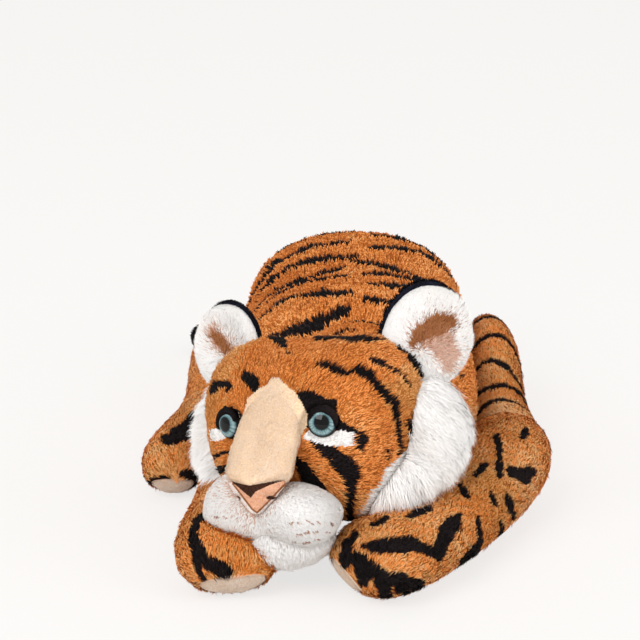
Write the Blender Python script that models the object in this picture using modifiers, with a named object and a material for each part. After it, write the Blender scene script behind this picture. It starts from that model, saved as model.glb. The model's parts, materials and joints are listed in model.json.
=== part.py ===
"""A lying plush tiger: plush skins over stuffing, with limbs, head and tail that swing at their seams.

The origin is in the flat of the belly, the tiger faces -Y, +X is its left side and +Z is up.
"""

import math

import bmesh
import bpy
from mathutils import Matrix, Vector

# Sizes are in metres and angles in degrees. A name ending in SHARE or SHARES holds plain ratios.

# Cloth and clearances
SKIN = 0.004  # plush cloth with its backing and pile base
GAP = 0.0004  # clearance between neighbouring pieces
STUFFING_GAP = 0.0008  # clearance between a skin and the stuffing in it
SEAM_GAP = 0.0004  # clearance between the flat faces of a swinging limb and the body
FLOOR_CUT = 0.0005  # depth of the flat that the resting forms are cut to
OVERRUN = 0.02  # how far a cutter runs past what it cuts
WELD = 0.00008  # points this close are one after the cuts
MERGE = 0.00001  # points this close are one in a turned or bent piece
FORM_SIDES = 10
LIMB_SIDES = 8

# Body
BODY_LENGTH = 0.349
BODY_FRONT = -0.1180
BODY_HALF_WIDTH = 0.1015
BODY_HEIGHT = 0.165
# along, half width, bottom, top
BODY_SHARES = (
    (0.000, 0.66, 0.08, 0.50),
    (0.028, 0.86, 0.00, 0.62),
    (0.076, 0.955, 0.00, 0.70),
    (0.145, 1.00, 0.00, 0.84),
    (0.240, 1.00, 0.00, 0.96),
    (0.380, 0.99, 0.00, 0.98),
    (0.530, 0.97, 0.00, 0.93),
    (0.690, 1.01, 0.00, 0.99),
    (0.830, 0.96, 0.00, 1.00),
    (0.930, 0.78, 0.03, 0.86),
    (1.000, 0.40, 0.16, 0.62),
)
BODY_SQUARE_SHARE = 2.6  # exponent of the rounded cross-section

# Neck ball, which the head rocks on
NECK_Y = -0.122
NECK_Z = 0.098
NECK_RADIUS = 0.062
NECK_PLAY = 0.0012  # room between the ball and the head's hollow
NECK_HOLE_RADIUS = 0.022
COLLAR_Y = -0.124  # the head's pieces end here, so that it can lift

# Closing seam in the belly
SEAM_SLOT_LENGTH = 0.070
SEAM_SLOT_WIDTH = 0.004
SEAM_SLOT_Y = 0.100
SEAM_THREAD = 0.0032

# Head, in its own frame: +X the tiger's left, -Y forward
HEAD_PLACE = (-0.0272, -0.209, 0.094)
HEAD_YAW = -28.3
HEAD_PITCH = -12.2
HEAD_ROLL = -10.1
HEAD_HALF_WIDTH = 0.088
HEAD_HALF_DEPTH = 0.084
HEAD_HALF_HEIGHT = 0.083
# along from back to face, half width, centre height, half height
HEAD_SHARES = (
    (0.98, 0.48, 0.14, 0.44),
    (0.72, 0.82, 0.12, 0.74),
    (0.30, 1.00, 0.12, 0.88),
    (-0.12, 1.02, 0.11, 0.89),
    (-0.48, 0.96, 0.08, 0.84),
    (-0.76, 0.82, 0.04, 0.72),
    (-0.96, 0.64, 0.00, 0.52),
    (-1.07, 0.36, -0.04, 0.32),
)
HEAD_SQUARE_SHARE = 2.2

# Ruff of long plush on each cheek
RUFF_RADIUS = 0.094  # from the head's axis out to the ruff's middle
RUFF_RISE = 0.070
RUFF_DROP = 0.044
RUFF_REACH = 0.021  # half width outwards
RUFF_DEPTH = 0.026
RUFF_BACK = 0.006
RUFF_FORWARD = 0.040  # how far the lower end comes forward along the jaw
RUFF_START = 52.0
RUFF_END = -70.0
RUFF_FLARE_SHARES = (0.45, 0.8, 1.0, 1.08, 1.05, 0.95, 0.8, 0.55)

# Muzzle, chin, bridge and nose
MUZZLE_HALF_WIDTH = 0.060
MUZZLE_HALF_DEPTH = 0.034
MUZZLE_HALF_HEIGHT = 0.030
MUZZLE_PLACE = (0.0, -0.088, -0.047)
MUZZLE_SHARES = ((0.98, 0.36), (0.86, 0.72), (0.62, 0.97), (0.34, 1.0), (0.0, 0.84))
CHIN_HALF_WIDTH = 0.037
CHIN_HALF_DEPTH = 0.032
CHIN_HALF_HEIGHT = 0.024
CHIN_PLACE = (0.0, -0.076, -0.068)
BRIDGE_HALF_WIDTH = 0.027
BRIDGE_HALF_HEIGHT = 0.013
BRIDGE_TOP = (0.0, -0.052, 0.052)
BRIDGE_FOOT = (0.0, -0.110, -0.020)
BRIDGE_BULGE = 0.010
BRIDGE_SQUARE_SHARE = 2.4
BRIDGE_SHARES = ((0.0, 0.40), (0.22, 0.74), (0.50, 0.92), (0.78, 0.98), (1.0, 1.0))
NOSE_HALF_WIDTH = 0.026
NOSE_HALF_DEPTH = 0.008
NOSE_TOP = (0.0, -0.1115, -0.0215)
NOSE_POINT = (0.0, -0.1165, -0.047)
NOSE_SHARES = ((0.0, 0.95), (0.35, 0.80), (0.70, 0.50), (1.0, 0.20))
MOUTH_THREAD = 0.0012
MOUTH_DROP = 0.020
MOUTH_HALF_WIDTH = 0.022
MOUTH_RISE_SHARE = 0.3  # how far the middle of the mouth stands above its ends, as a share of the drop
MOUTH_BOW_SHARE = 3.0  # how far its ends lie behind the middle, as a share of the thread
MOUTH_STEPS = 6

# Safety eyes
EYE_PLACE = (0.0397, -0.0795, 0.0195)
EYE_TURN = 20.0
EYE_RADIUS = 0.012
EYE_HEIGHT = 0.0075
EYE_RIM = 0.0015
SHANK_RADIUS = 0.0028
SHANK_LENGTH = 0.015
WASHER_RADIUS = 0.0095
WASHER_THICKNESS = 0.0018
WASHER_DEPTH = 0.009
EYE_SEGMENTS = 18
EYE_STEPS = 5

# Ears
EAR_PLACE = (0.086, 0.006, 0.078)
EAR_HALF_WIDTH = 0.037
EAR_HALF_THICKNESS = 0.011
EAR_HALF_HEIGHT = 0.040
EAR_TILT = 26.0
EAR_TURN = 14.0
EAR_SPLIT = 0.001
EAR_CUP_RADIUS = 0.034
EAR_CUP_WIDTH_SHARE = 0.8
EAR_CUP_DEPTH = 0.007

# Forelegs, from the shoulder: outwards from the seam, and along the leg
SHOULDER_HEIGHT = 0.050
FORELEG_LENGTH = 0.203
FORELEG_HALF_WIDTH = 0.040
FORELEG_HALF_HEIGHT = 0.037
SWEEP_RADIUS = 0.064  # the leg keeps this far off its shoulder's axis where it lies in front of the body
SLEEVE_RADIUS = 0.016  # the opening that joins the limb to the body, inside the seam
RUFF_PLAY = 0.0045  # room between a foreleg and the ruff that lifts off it
LID_RIGHT = 0.030  # the stuffing stays this low where the head lies on the right foreleg
LID_LEFT = 0.043  # and this low where the cheek lies on the left one
# along, outwards, centre height, half width, half height
FORELEG_RIGHT_SHARES = (
    (-0.165, 0.10, 1.30, 0.34, 0.42),
    (-0.085, 0.10, 1.32, 0.52, 0.84),
    (0.060, 0.10, 1.26, 0.56, 1.00),
    (0.240, 0.06, 1.06, 0.66, 0.98),
    (0.420, 0.00, 0.96, 0.80, 0.95),
    (0.640, -0.04, 0.92, 0.94, 0.93),
    (0.860, 0.06, 0.88, 1.08, 0.90),
    (1.020, 0.06, 0.88, 1.10, 0.90),
    (1.115, 0.06, 0.76, 0.80, 0.62),
)
FORELEG_LEFT_SHARES = (
    (-0.180, 0.50, 1.30, 0.50, 0.46),
    (-0.090, 0.70, 1.34, 0.86, 0.90),
    (0.060, 0.90, 1.28, 1.08, 1.08),
    (0.260, 1.12, 1.08, 1.06, 1.04),
    (0.480, 1.20, 0.98, 1.02, 0.98),
    (0.760, 1.10, 0.96, 1.06, 0.97),
    (1.020, 0.88, 0.92, 1.12, 0.94),
    (1.170, 0.74, 0.78, 0.80, 0.62),
)
SHOULDER_RIGHT = (-0.1000, -0.086, SHOULDER_HEIGHT)
SHOULDER_LEFT = (0.0960, -0.100, SHOULDER_HEIGHT)
LEFT_TURN = -30.5  # the left foreleg points across, towards the muzzle

# Hind legs, from the hip
HIP_Y = 0.112
HIP_X = 0.1000
HIP_HEIGHT = 0.058
HIND_LENGTH = 0.226
HIND_HALF_WIDTH = 0.033
HIND_HALF_HEIGHT = 0.031
HIND_RIGHT_SHARES = (
    (-0.215, 0.40, 1.72, 0.40, 0.62),
    (-0.130, 0.62, 1.80, 0.70, 1.26),
    (0.000, 0.72, 1.78, 0.84, 1.52),
    (0.220, 0.72, 1.50, 0.86, 1.30),
    (0.460, 0.78, 1.10, 0.84, 1.04),
    (0.700, 1.36, 1.00, 0.84, 1.00),
    (0.900, 1.74, 0.96, 0.90, 0.98),
    (0.990, 1.80, 0.84, 0.66, 0.66),
)
HIND_LEFT_SHARES = (
    (-0.215, 0.40, 1.72, 0.40, 0.62),
    (-0.130, 0.62, 1.80, 0.70, 1.26),
    (0.000, 0.72, 1.78, 0.84, 1.52),
    (0.180, 0.72, 1.46, 0.86, 1.28),
    (0.360, 0.74, 1.10, 0.84, 1.04),
    (0.520, 0.84, 1.00, 0.86, 1.00),
    (0.680, 0.92, 0.96, 0.94, 0.98),
    (0.750, 0.92, 0.84, 0.66, 0.66),
)

# Soles: the front lower cap of each paw
SOLE_DEPTH = 0.019
SOLE_TILT = 34.0

# Tail
TAIL_RADIUS = 0.016
TAIL_ROOT_RADIUS = 0.021
TAIL_ROOT_HEIGHT = 0.046
TAIL_SINK = 0.004
TAIL_SIDES = 8
TAIL_REACH = 0.150
# sideways and back, both as shares of the reach, height in tail radii, radius share
TAIL_SHARES = (
    (0.000, 0.060, 2.86, 0.70),
    (-0.010, 0.200, 2.40, 1.00),
    (-0.080, 0.400, 1.50, 1.00),
    (-0.260, 0.580, 1.06, 1.02),
    (-0.520, 0.680, 1.02, 1.04),
    (-0.800, 0.660, 1.02, 1.02),
    (-1.000, 0.560, 0.98, 0.90),
    (-1.060, 0.520, 0.94, 0.56),
)

ORANGE = (0.49, 0.17, 0.035)
TAN = (0.60, 0.33, 0.14)
CREAM = (0.78, 0.58, 0.38)
WHITE = (0.88, 0.86, 0.83)
BLACK = (0.020, 0.016, 0.018)
PINK = (0.72, 0.36, 0.24)
TEAL = (0.10, 0.24, 0.24)
FIBRE = (0.80, 0.80, 0.78)
CLEAR_GREY = (0.60, 0.60, 0.60)
THREAD = (0.10, 0.035, 0.025)


def clear_scene():
    for old in list(bpy.data.objects):
        bpy.data.objects.remove(old, do_unlink=True)


clear_scene()
PARTS = bpy.data.collections.new("plush_tiger")
CUTTERS = bpy.data.collections.new("cutters")
bpy.context.scene.collection.children.link(PARTS)
bpy.context.scene.collection.children.link(CUTTERS)


def new_material(name, colour, roughness):
    material = bpy.data.materials.new(name)
    material.use_nodes = True
    shader = material.node_tree.nodes["Principled BSDF"]
    shader.inputs["Base Color"].default_value = (*colour, 1.0)
    shader.inputs["Roughness"].default_value = roughness
    shader.inputs["Metallic"].default_value = 0.0
    return material


def frame(name, place, rotation, parent=None):
    """An empty that pieces hang from, placed in its parent's frame."""
    empty = bpy.data.objects.new(name, None)
    PARTS.objects.link(empty)
    empty.parent = parent
    empty.matrix_basis = Matrix.Translation(Vector(place)) @ rotation.to_4x4()
    return empty


def add_object(name, mesh, parent=None, colour=None, roughness=0.9):
    """A part when it has a colour, and a cutter when it has none."""
    thing = bpy.data.objects.new(name, mesh)
    if colour:
        PARTS.objects.link(thing)
        mesh.materials.append(new_material(name, colour, roughness))
    else:
        CUTTERS.objects.link(thing)
        thing.hide_render = True
        thing.display_type = "WIRE"
    if parent:
        thing.parent = parent
    return thing


def cut(thing, cutter, operation="DIFFERENCE", solver="MANIFOLD"):
    """The exact solver leaves loose edges where these rounded forms meet, so the cuts are manifold."""
    modifier = thing.modifiers.new(cutter.name, "BOOLEAN")
    modifier.operation = operation
    modifier.solver = solver
    modifier.object = cutter


def tidy(thing):
    """Closes the hairline slivers that cuts leave."""
    weld = thing.modifiers.new("weld", "WELD")
    weld.merge_threshold = WELD


def subdivide(thing, levels=1):
    modifier = thing.modifiers.new("round", "SUBSURF")
    modifier.levels = levels
    modifier.render_levels = levels
    thing.data.shade_smooth()


def swell(thing, distance):
    modifier = thing.modifiers.new("swell", "DISPLACE")
    modifier.strength = distance
    modifier.mid_level = 0.0


def ring_points(centre, side, rise, sides, square=2.0, widened=True):
    """A superellipse round a centre. Subdivision draws a cage in, so its cage starts wider."""
    widen = 1.0 / math.cos(math.pi / sides) if widened else 1.0
    points = []
    for index in range(sides):
        angle = 2.0 * math.pi * (index + 0.5) / sides
        across = math.copysign(abs(math.cos(angle)) ** (2.0 / square), math.cos(angle))
        upward = math.copysign(abs(math.sin(angle)) ** (2.0 / square), math.sin(angle))
        points.append(centre + (side * across + rise * upward) * widen)
    return points


def loft(rings, halved=False):
    """A closed cage through rings of as many points each, its faces halved alike or whole."""
    cage = bmesh.new()
    rows = [[cage.verts.new(point) for point in ring] for ring in rings]
    for row, following in zip(rows, rows[1:]):
        for index in range(len(row)):
            after = (index + 1) % len(row)
            corners = (row[index], row[after], following[after], following[index])
            if halved:
                cage.faces.new(corners[:3])
                cage.faces.new((corners[0], corners[2], corners[3]))
            else:
                cage.faces.new(corners)
    cage.faces.new(rows[0])
    cage.faces.new(rows[-1])
    bmesh.ops.recalc_face_normals(cage, faces=cage.faces[:])
    mesh = bpy.data.meshes.new("form")
    cage.to_mesh(mesh)
    cage.free()
    return mesh


def swept_rings(stations, sides, inset, square):
    """Rings across a path. A station is a centre, a half width and a half height."""
    rings = []
    last = len(stations) - 1
    for index, (centre, half_width, half_height) in enumerate(stations):
        before = stations[max(index - 1, 0)][0]
        after = stations[min(index + 1, last)][0]
        along = (after - before).normalized()
        side = along.cross(Vector((0, 0, 1))).normalized()
        rise = side.cross(along).normalized()
        shift = inset * (index == 0) - inset * (index == last)
        wide = max(half_width - inset, inset)
        high = max(half_height - inset, inset)
        centre = centre + along * shift
        rings.append(ring_points(centre, side * wide, rise * high, sides, square, inset == 0))
    return rings


def drawn_in(stations):
    """The stations as subdivision draws them in: an end by a quarter, the rest by an eighth each way."""
    settled = []
    last = len(stations) - 1
    for index, station in enumerate(stations):
        before = stations[max(index - 1, 0)]
        after = stations[min(index + 1, last)]
        if index in (0, last):
            inner = stations[1] if index == 0 else stations[last - 1]
            settled.append(tuple((3 * mine + near) / 4 for mine, near in zip(station, inner)))
        else:
            settled.append(tuple((b + 6 * mine + a) / 8 for b, mine, a in zip(before, station, after)))
    return settled


def soft_form(name, stations, sides, parent=None, colour=None, inset=0.0, square=2.0):
    """A rounded outer form, or the plain faceted form that lies inset within it."""
    if inset:
        stations = drawn_in(stations)
    rings = swept_rings(stations, sides, inset, square)
    thing = add_object(name, loft(rings, halved=inset > 0), parent, colour)
    if not inset:
        subdivide(thing)
    return thing


def ball(name, place, radii, segments, rings, parent=None, colour=None):
    shape = bmesh.new()
    bmesh.ops.create_uvsphere(shape, u_segments=segments, v_segments=rings, radius=1.0)
    bmesh.ops.scale(shape, vec=Vector(radii), verts=shape.verts)
    bmesh.ops.translate(shape, vec=Vector(place), verts=shape.verts)
    mesh = bpy.data.meshes.new(name)
    shape.to_mesh(mesh)
    shape.free()
    mesh.shade_smooth()
    return add_object(name, mesh, parent, colour)


def box(name, low, high, parent=None, colour=None):
    shape = bmesh.new()
    bmesh.ops.create_cube(shape, size=1.0)
    size = Vector(high) - Vector(low)
    bmesh.ops.scale(shape, vec=size, verts=shape.verts)
    bmesh.ops.translate(shape, vec=(Vector(high) + Vector(low)) / 2.0, verts=shape.verts)
    mesh = bpy.data.meshes.new(name)
    shape.to_mesh(mesh)
    shape.free()
    return add_object(name, mesh, parent, colour)


def rod(name, start, end, radius, segments=24, parent=None, colour=None):
    shape = bmesh.new()
    axis = Vector(end) - Vector(start)
    bmesh.ops.create_cone(
        shape, cap_ends=True, segments=segments, radius1=radius, radius2=radius, depth=axis.length
    )
    turn = Vector((0, 0, 1)).rotation_difference(axis)
    place = Matrix.Translation((Vector(start) + Vector(end)) / 2.0) @ turn.to_matrix().to_4x4()
    bmesh.ops.transform(shape, matrix=place, verts=shape.verts)
    mesh = bpy.data.meshes.new(name)
    shape.to_mesh(mesh)
    shape.free()
    return add_object(name, mesh, parent, colour)


WORLD = frame("body_frame", (0, 0, 0), Matrix.Identity(3))
REACH = BODY_LENGTH
FLOOR = box("floor_cutter", (-REACH, -REACH - REACH, -REACH), (REACH, REACH + REACH, 0))


# Body


def body_stations():
    stations = []
    for along, wide, low, high in BODY_SHARES:
        bottom = low * BODY_HEIGHT - FLOOR_CUT
        top = high * BODY_HEIGHT
        centre = Vector((0, BODY_FRONT + along * BODY_LENGTH, (bottom + top) / 2.0))
        stations.append((centre, wide * BODY_HALF_WIDTH, (top - bottom) / 2.0))
    return stations


def body_form(name, inset=0.0, colour=None):
    return soft_form(
        name, body_stations(), FORM_SIDES, WORLD, colour, inset=inset, square=BODY_SQUARE_SHARE
    )


NECK = Vector((0, NECK_Y, NECK_Z))
NECK_JOINT = frame("neck_joint", NECK, Matrix.Identity(3), WORLD)


def neck_ball(name, grow=0.0, segments=20, rings=12):
    radius = NECK_RADIUS + grow
    return ball(name, (0, 0, 0), (radius, radius, radius), segments, rings, NECK_JOINT)


class Limb:
    """A limb's form and the joint at its seam. Side is 1 where it swings on the body's left, or -1."""

    def __init__(self, name, shares, size, place, side, turn=0.0):
        self.name = name
        self.shares = shares
        self.length, self.half_width, self.half_height = size
        self.side = side
        self.place = Vector(place)
        self.turn = Matrix.Rotation(math.radians(turn), 3, "Z")
        self.joint = frame(name + "_joint", place, self.turn, WORLD)

    def stations(self):
        """From the joint: along the limb, outwards and up, with the form's half width and height."""
        found = []
        for along, outward, height, wide, high in self.shares:
            up = height * self.half_height - FLOOR_CUT - self.place.z
            centre = Vector((self.side * outward * self.half_width, -along * self.length, up))
            found.append((centre, wide * self.half_width, high * self.half_height))
        return found

    def axle(self, name, inner, outer, radius, segments=32):
        """A rod on the joint's axis, between two distances outwards from the seam."""
        ends = [(self.side * reach, 0, 0) for reach in (inner, outer)]
        return rod(self.name + name, *ends, radius, segments, self.joint)

    def seam_cutter(self):
        """A box that fills the outside of the seam plane."""
        low, high = sorted((0, self.side * SWEEP_RADIUS))
        near = (low, -SWEEP_RADIUS, -SWEEP_RADIUS)
        return box(self.name + "_seam_cutter", near, (high, SWEEP_RADIUS, SWEEP_RADIUS), self.joint)


FORELEG_SIZE = (FORELEG_LENGTH, FORELEG_HALF_WIDTH, FORELEG_HALF_HEIGHT)
HIND_SIZE = (HIND_LENGTH, HIND_HALF_WIDTH, HIND_HALF_HEIGHT)
HIP_LEFT = (HIP_X, HIP_Y, HIP_HEIGHT)
HIP_RIGHT = (-HIP_X, HIP_Y, HIP_HEIGHT)
FORELEG_LEFT = Limb("foreleg_left", FORELEG_LEFT_SHARES, FORELEG_SIZE, SHOULDER_LEFT, 1, LEFT_TURN)
FORELEG_RIGHT = Limb("foreleg_right", FORELEG_RIGHT_SHARES, FORELEG_SIZE, SHOULDER_RIGHT, -1)
HIND_LEG_LEFT = Limb("hind_leg_left", HIND_LEFT_SHARES, HIND_SIZE, HIP_LEFT, 1)
HIND_LEG_RIGHT = Limb("hind_leg_right", HIND_RIGHT_SHARES, HIND_SIZE, HIP_RIGHT, -1)
LIMBS = (FORELEG_LEFT, FORELEG_RIGHT, HIND_LEG_LEFT, HIND_LEG_RIGHT)
RUMP_Y = BODY_FRONT + BODY_LENGTH
TAIL_ROOT = Vector((0, RUMP_Y - TAIL_SINK, TAIL_ROOT_HEIGHT))
TAIL_JOINT = frame("tail_joint", TAIL_ROOT, Matrix.Identity(3), WORLD)


def tail_ball(name, radius):
    return ball(name, (0, 0, 0), (radius, radius, radius), 16, 10, TAIL_JOINT)


def make_body():
    skin = body_form("body_skin", colour=ORANGE)
    cut(skin, neck_ball("neck_union"), "UNION")
    for limb in LIMBS:
        cut(skin, limb.seam_cutter())
    cut(skin, body_form("body_hollow", inset=SKIN))
    cut(skin, neck_ball("neck_hollow", -SKIN, 12, 8))
    tail_socket = TAIL_ROOT_RADIUS + GAP + GAP
    cut(skin, tail_ball("tail_socket", tail_socket))
    slot_low = (-SEAM_SLOT_WIDTH / 2.0, SEAM_SLOT_Y - SEAM_SLOT_LENGTH / 2.0, -OVERRUN)
    slot_high = (SEAM_SLOT_WIDTH / 2.0, SEAM_SLOT_Y + SEAM_SLOT_LENGTH / 2.0, SKIN + SKIN)
    cut(skin, box("closing_seam_slot", slot_low, slot_high, WORLD))
    cut(skin, FLOOR)

    stuffing = body_form("body_stuffing", inset=SKIN + STUFFING_GAP, colour=FIBRE)
    cut(stuffing, neck_ball("neck_stuffing_union", -SKIN - STUFFING_GAP, 12, 8), "UNION")
    cut(stuffing, tail_ball("tail_socket_wall", tail_socket + SKIN))
    room = Vector((GAP, GAP, 0))
    seam_low = Vector(slot_low) + room
    seam_low.z = GAP
    seam_high = Vector(slot_high) - room
    seam_high.z = SEAM_THREAD
    box("closing_seam", seam_low, seam_high, WORLD, BLACK)


# Head

HEAD_TURN = (
    Matrix.Rotation(math.radians(HEAD_YAW), 3, "Z")
    @ Matrix.Rotation(math.radians(HEAD_PITCH), 3, "X")
    @ Matrix.Rotation(math.radians(HEAD_ROLL), 3, "Y")
)
HEAD = frame("head_frame", Vector(HEAD_PLACE) - NECK, HEAD_TURN, NECK_JOINT)


def head_stations():
    stations = []
    for along, wide, centre, high in HEAD_SHARES:
        place = Vector((0, along * HEAD_HALF_DEPTH, centre * HEAD_HALF_HEIGHT))
        stations.append((place, wide * HEAD_HALF_WIDTH, high * HEAD_HALF_HEIGHT))
    return stations


def head_form(name, inset=0.0, colour=None):
    return soft_form(
        name, head_stations(), FORM_SIDES, HEAD, colour, inset=inset, square=HEAD_SQUARE_SHARE
    )


def mirrored(place, side):
    return Vector((place[0] * side, place[1], place[2]))


def collar_box(name, ahead=0.0):
    """All that lies behind the neck's collar, from a little ahead of it."""
    return box(name, (-REACH, COLLAR_Y - ahead, -REACH), (REACH, REACH, REACH + REACH))


def eye_frame(side):
    turn = Matrix.Rotation(math.radians(EYE_TURN * side), 3, "Z")
    name = "eye_frame_" + ("left" if side > 0 else "right")
    return frame(name, mirrored(EYE_PLACE, side), turn, HEAD)


def turned(name, profile, segments, parent, colour=None, roughness=0.1):
    """A profile of radius and height, turned about the frame's Y axis."""
    outline = bmesh.new()
    points = [outline.verts.new((radius, 0, height)) for radius, height in profile]
    for first, second in zip(points, points[1:]):
        outline.edges.new((first, second))
    mesh = bpy.data.meshes.new(name)
    outline.to_mesh(mesh)
    outline.free()
    thing = add_object(name, mesh, parent, colour, roughness)
    thing.rotation_euler = (math.radians(90.0), 0, 0)
    screw = thing.modifiers.new("turn", "SCREW")
    screw.axis = "Z"
    screw.steps = segments
    screw.render_steps = segments
    screw.use_merge_vertices = True
    screw.merge_threshold = MERGE
    return thing


def eye_profile(grow):
    """The dome's crown, its rim, the flat back and the shank, from the front backwards."""
    profile = []
    for step in range(EYE_STEPS + 1):
        angle = math.radians(90.0 * (1.0 - step / EYE_STEPS))
        profile.append(((EYE_RADIUS + grow) * math.cos(angle), (EYE_HEIGHT + grow) * math.sin(angle)))
    profile[0] = (0, EYE_HEIGHT + grow)
    profile.append((EYE_RADIUS + grow, -EYE_RIM - grow))
    profile.append((SHANK_RADIUS + grow, -EYE_RIM - grow))
    profile.append((SHANK_RADIUS + grow, -SHANK_LENGTH - grow))
    profile.append((0, -SHANK_LENGTH - grow))
    return profile


def make_eye(side, skin, stuffing, bridge):
    name = "left" if side > 0 else "right"
    place = eye_frame(side)
    turned("eye_" + name, eye_profile(0), EYE_SEGMENTS, place, TEAL)
    cutter = turned("eye_cutter_" + name, eye_profile(GAP), EYE_SEGMENTS, place)
    cut(skin, cutter)
    cut(stuffing, cutter)
    cut(bridge, cutter)
    washer = rod(
        "eye_washer_" + name, (0, WASHER_DEPTH, 0), (0, WASHER_DEPTH + WASHER_THICKNESS, 0),
        WASHER_RADIUS, 20, place, CLEAR_GREY,
    )
    bore = rod("washer_bore_" + name, (0, 0, 0), (0, OVERRUN, 0), SHANK_RADIUS + GAP, 20, place)
    cut(washer, bore)
    pocket = rod(
        "washer_pocket_" + name, (0, WASHER_DEPTH - GAP, 0), (0, WASHER_DEPTH + OVERRUN, 0),
        WASHER_RADIUS + GAP, 20, place,
    )
    cut(skin, pocket)
    cut(stuffing, pocket)


def ruff_form(name, side, colour=None):
    """A crescent of long plush that runs down the cheek from the ear to the jaw."""
    stations = []
    last = len(RUFF_FLARE_SHARES) - 1
    for index, flare in enumerate(RUFF_FLARE_SHARES):
        angle = math.radians(RUFF_START + (RUFF_END - RUFF_START) * index / last)
        out = Vector((side * math.cos(angle), 0, math.sin(angle)))
        height = math.sin(angle) * (RUFF_RISE if angle > 0 else RUFF_DROP)
        forward = RUFF_FORWARD * max(0, -math.sin(angle)) ** 2
        centre = Vector((side * math.cos(angle) * RUFF_RADIUS, RUFF_BACK - forward, height))
        stations.append((centre, out * flare * RUFF_REACH, Vector((0, flare * RUFF_DEPTH, 0))))
    rings = [ring_points(centre, out, deep, LIMB_SIDES) for centre, out, deep in stations]
    ruff = add_object(name, loft(rings), HEAD, colour)
    subdivide(ruff)
    return ruff


def make_ear(side, head_room, ruff):
    name = "left" if side > 0 else "right"
    turn = (
        Matrix.Rotation(math.radians(EAR_TURN * side), 3, "Z")
        @ Matrix.Rotation(math.radians(EAR_TILT * side), 3, "Y")
    )
    place = frame("ear_frame_" + name, mirrored(EAR_PLACE, side), turn, HEAD)
    radii = (EAR_HALF_WIDTH, EAR_HALF_THICKNESS, EAR_HALF_HEIGHT)
    span = EAR_HALF_HEIGHT + OVERRUN
    front = box("ear_front_" + name, (-span, -span, -span), (span, EAR_SPLIT + GAP, span), place)
    rear = box("ear_rear_" + name, (-span, EAR_SPLIT, -span), (span, span, span), place)
    cup_radii = (EAR_CUP_RADIUS * EAR_CUP_WIDTH_SHARE, EAR_CUP_DEPTH, EAR_CUP_RADIUS)
    cup = ball("ear_cup_" + name, (0, -EAR_HALF_THICKNESS, 0), cup_radii, 16, 10, place)
    back = ball("ear_back_" + name, (0, 0, 0), radii, 18, 10, place, BLACK)
    cut(back, front)
    lining = ball("ear_lining_" + name, (0, 0, 0), radii, 18, 10, place, WHITE)
    cut(lining, rear)
    cut(lining, cup)
    for piece in (back, lining):
        cut(piece, head_room)
    grown = tuple(radius + GAP for radius in radii)
    cut(ruff, ball("ear_room_" + name, (0, 0, 0), grown, 18, 10, place))


def muzzle_form(name, colour=None, grow=0.0):
    """Two lobes side by side, pinched in the middle."""
    shares = [(-x, size) for x, size in MUZZLE_SHARES]
    shares += [(x, size) for x, size in reversed(MUZZLE_SHARES[:-1])]
    rings = []
    for x, size in shares:
        centre = Vector(MUZZLE_PLACE) + Vector((x * (MUZZLE_HALF_WIDTH + grow), 0, 0))
        deep = Vector((0, size * MUZZLE_HALF_DEPTH + grow, 0))
        high = Vector((0, 0, size * MUZZLE_HALF_HEIGHT + grow))
        rings.append(ring_points(centre, deep, high, LIMB_SIDES))
    thing = add_object(name, loft(rings), HEAD, colour)
    subdivide(thing)
    return thing


def bridge_form(name, colour=None, grow=0.0):
    top = Vector(BRIDGE_TOP)
    foot = Vector(BRIDGE_FOOT)
    stations = []
    for along, wide in BRIDGE_SHARES:
        centre = top.lerp(foot, along)
        centre.y -= BRIDGE_BULGE * math.sin(math.pi * along)
        stations.append((centre, wide * BRIDGE_HALF_WIDTH + grow, BRIDGE_HALF_HEIGHT + grow))
    rings = []
    along = (foot - top).normalized()
    rise = Vector((1, 0, 0)).cross(along).normalized()
    for centre, wide, high in stations:
        side = Vector((wide, 0, 0))
        rings.append(ring_points(centre, side, rise * high, LIMB_SIDES, BRIDGE_SQUARE_SHARE))
    thing = add_object(name, loft(rings), HEAD, colour)
    subdivide(thing)
    return thing


def nose_form(name, colour=None, grow=0.0):
    rings = []
    longer = (Vector(NOSE_POINT) - Vector(NOSE_TOP)).normalized() * grow
    for along, wide in NOSE_SHARES:
        centre = (Vector(NOSE_TOP) - longer).lerp(Vector(NOSE_POINT) + longer, along)
        side = Vector((wide * NOSE_HALF_WIDTH + grow, 0, 0))
        rings.append(ring_points(centre, side, Vector((0, NOSE_HALF_DEPTH + grow, 0)), LIMB_SIDES))
    thing = add_object(name, loft(rings), HEAD, colour)
    subdivide(thing)
    return thing


def chin_form(name, colour=None, grow=0.0):
    radii = tuple(size + grow for size in (CHIN_HALF_WIDTH, CHIN_HALF_DEPTH, CHIN_HALF_HEIGHT))
    return ball(name, CHIN_PLACE, radii, 18, 10, HEAD, colour)


def tube(name, points, radius, parent, colour=None):
    """A bent tube, as a welded mesh."""
    data = bpy.data.curves.new(name, "CURVE")
    data.dimensions = "3D"
    data.bevel_depth = radius
    data.bevel_resolution = 1
    data.use_fill_caps = True
    spline = data.splines.new("POLY")
    spline.points.add(len(points) - 1)
    for target, point in zip(spline.points, points):
        target.co = (*point, 1.0)
    curve = bpy.data.objects.new(name + "_curve", data)
    bpy.context.scene.collection.objects.link(curve)
    depsgraph = bpy.context.evaluated_depsgraph_get()
    mesh = bpy.data.meshes.new_from_object(curve.evaluated_get(depsgraph))
    bpy.data.objects.remove(curve, do_unlink=True)
    weld = bmesh.new()
    weld.from_mesh(mesh)
    bmesh.ops.remove_doubles(weld, verts=weld.verts, dist=MERGE)
    weld.to_mesh(mesh)
    weld.free()
    mesh.materials.clear()
    return add_object(name, mesh, parent, colour)


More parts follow.
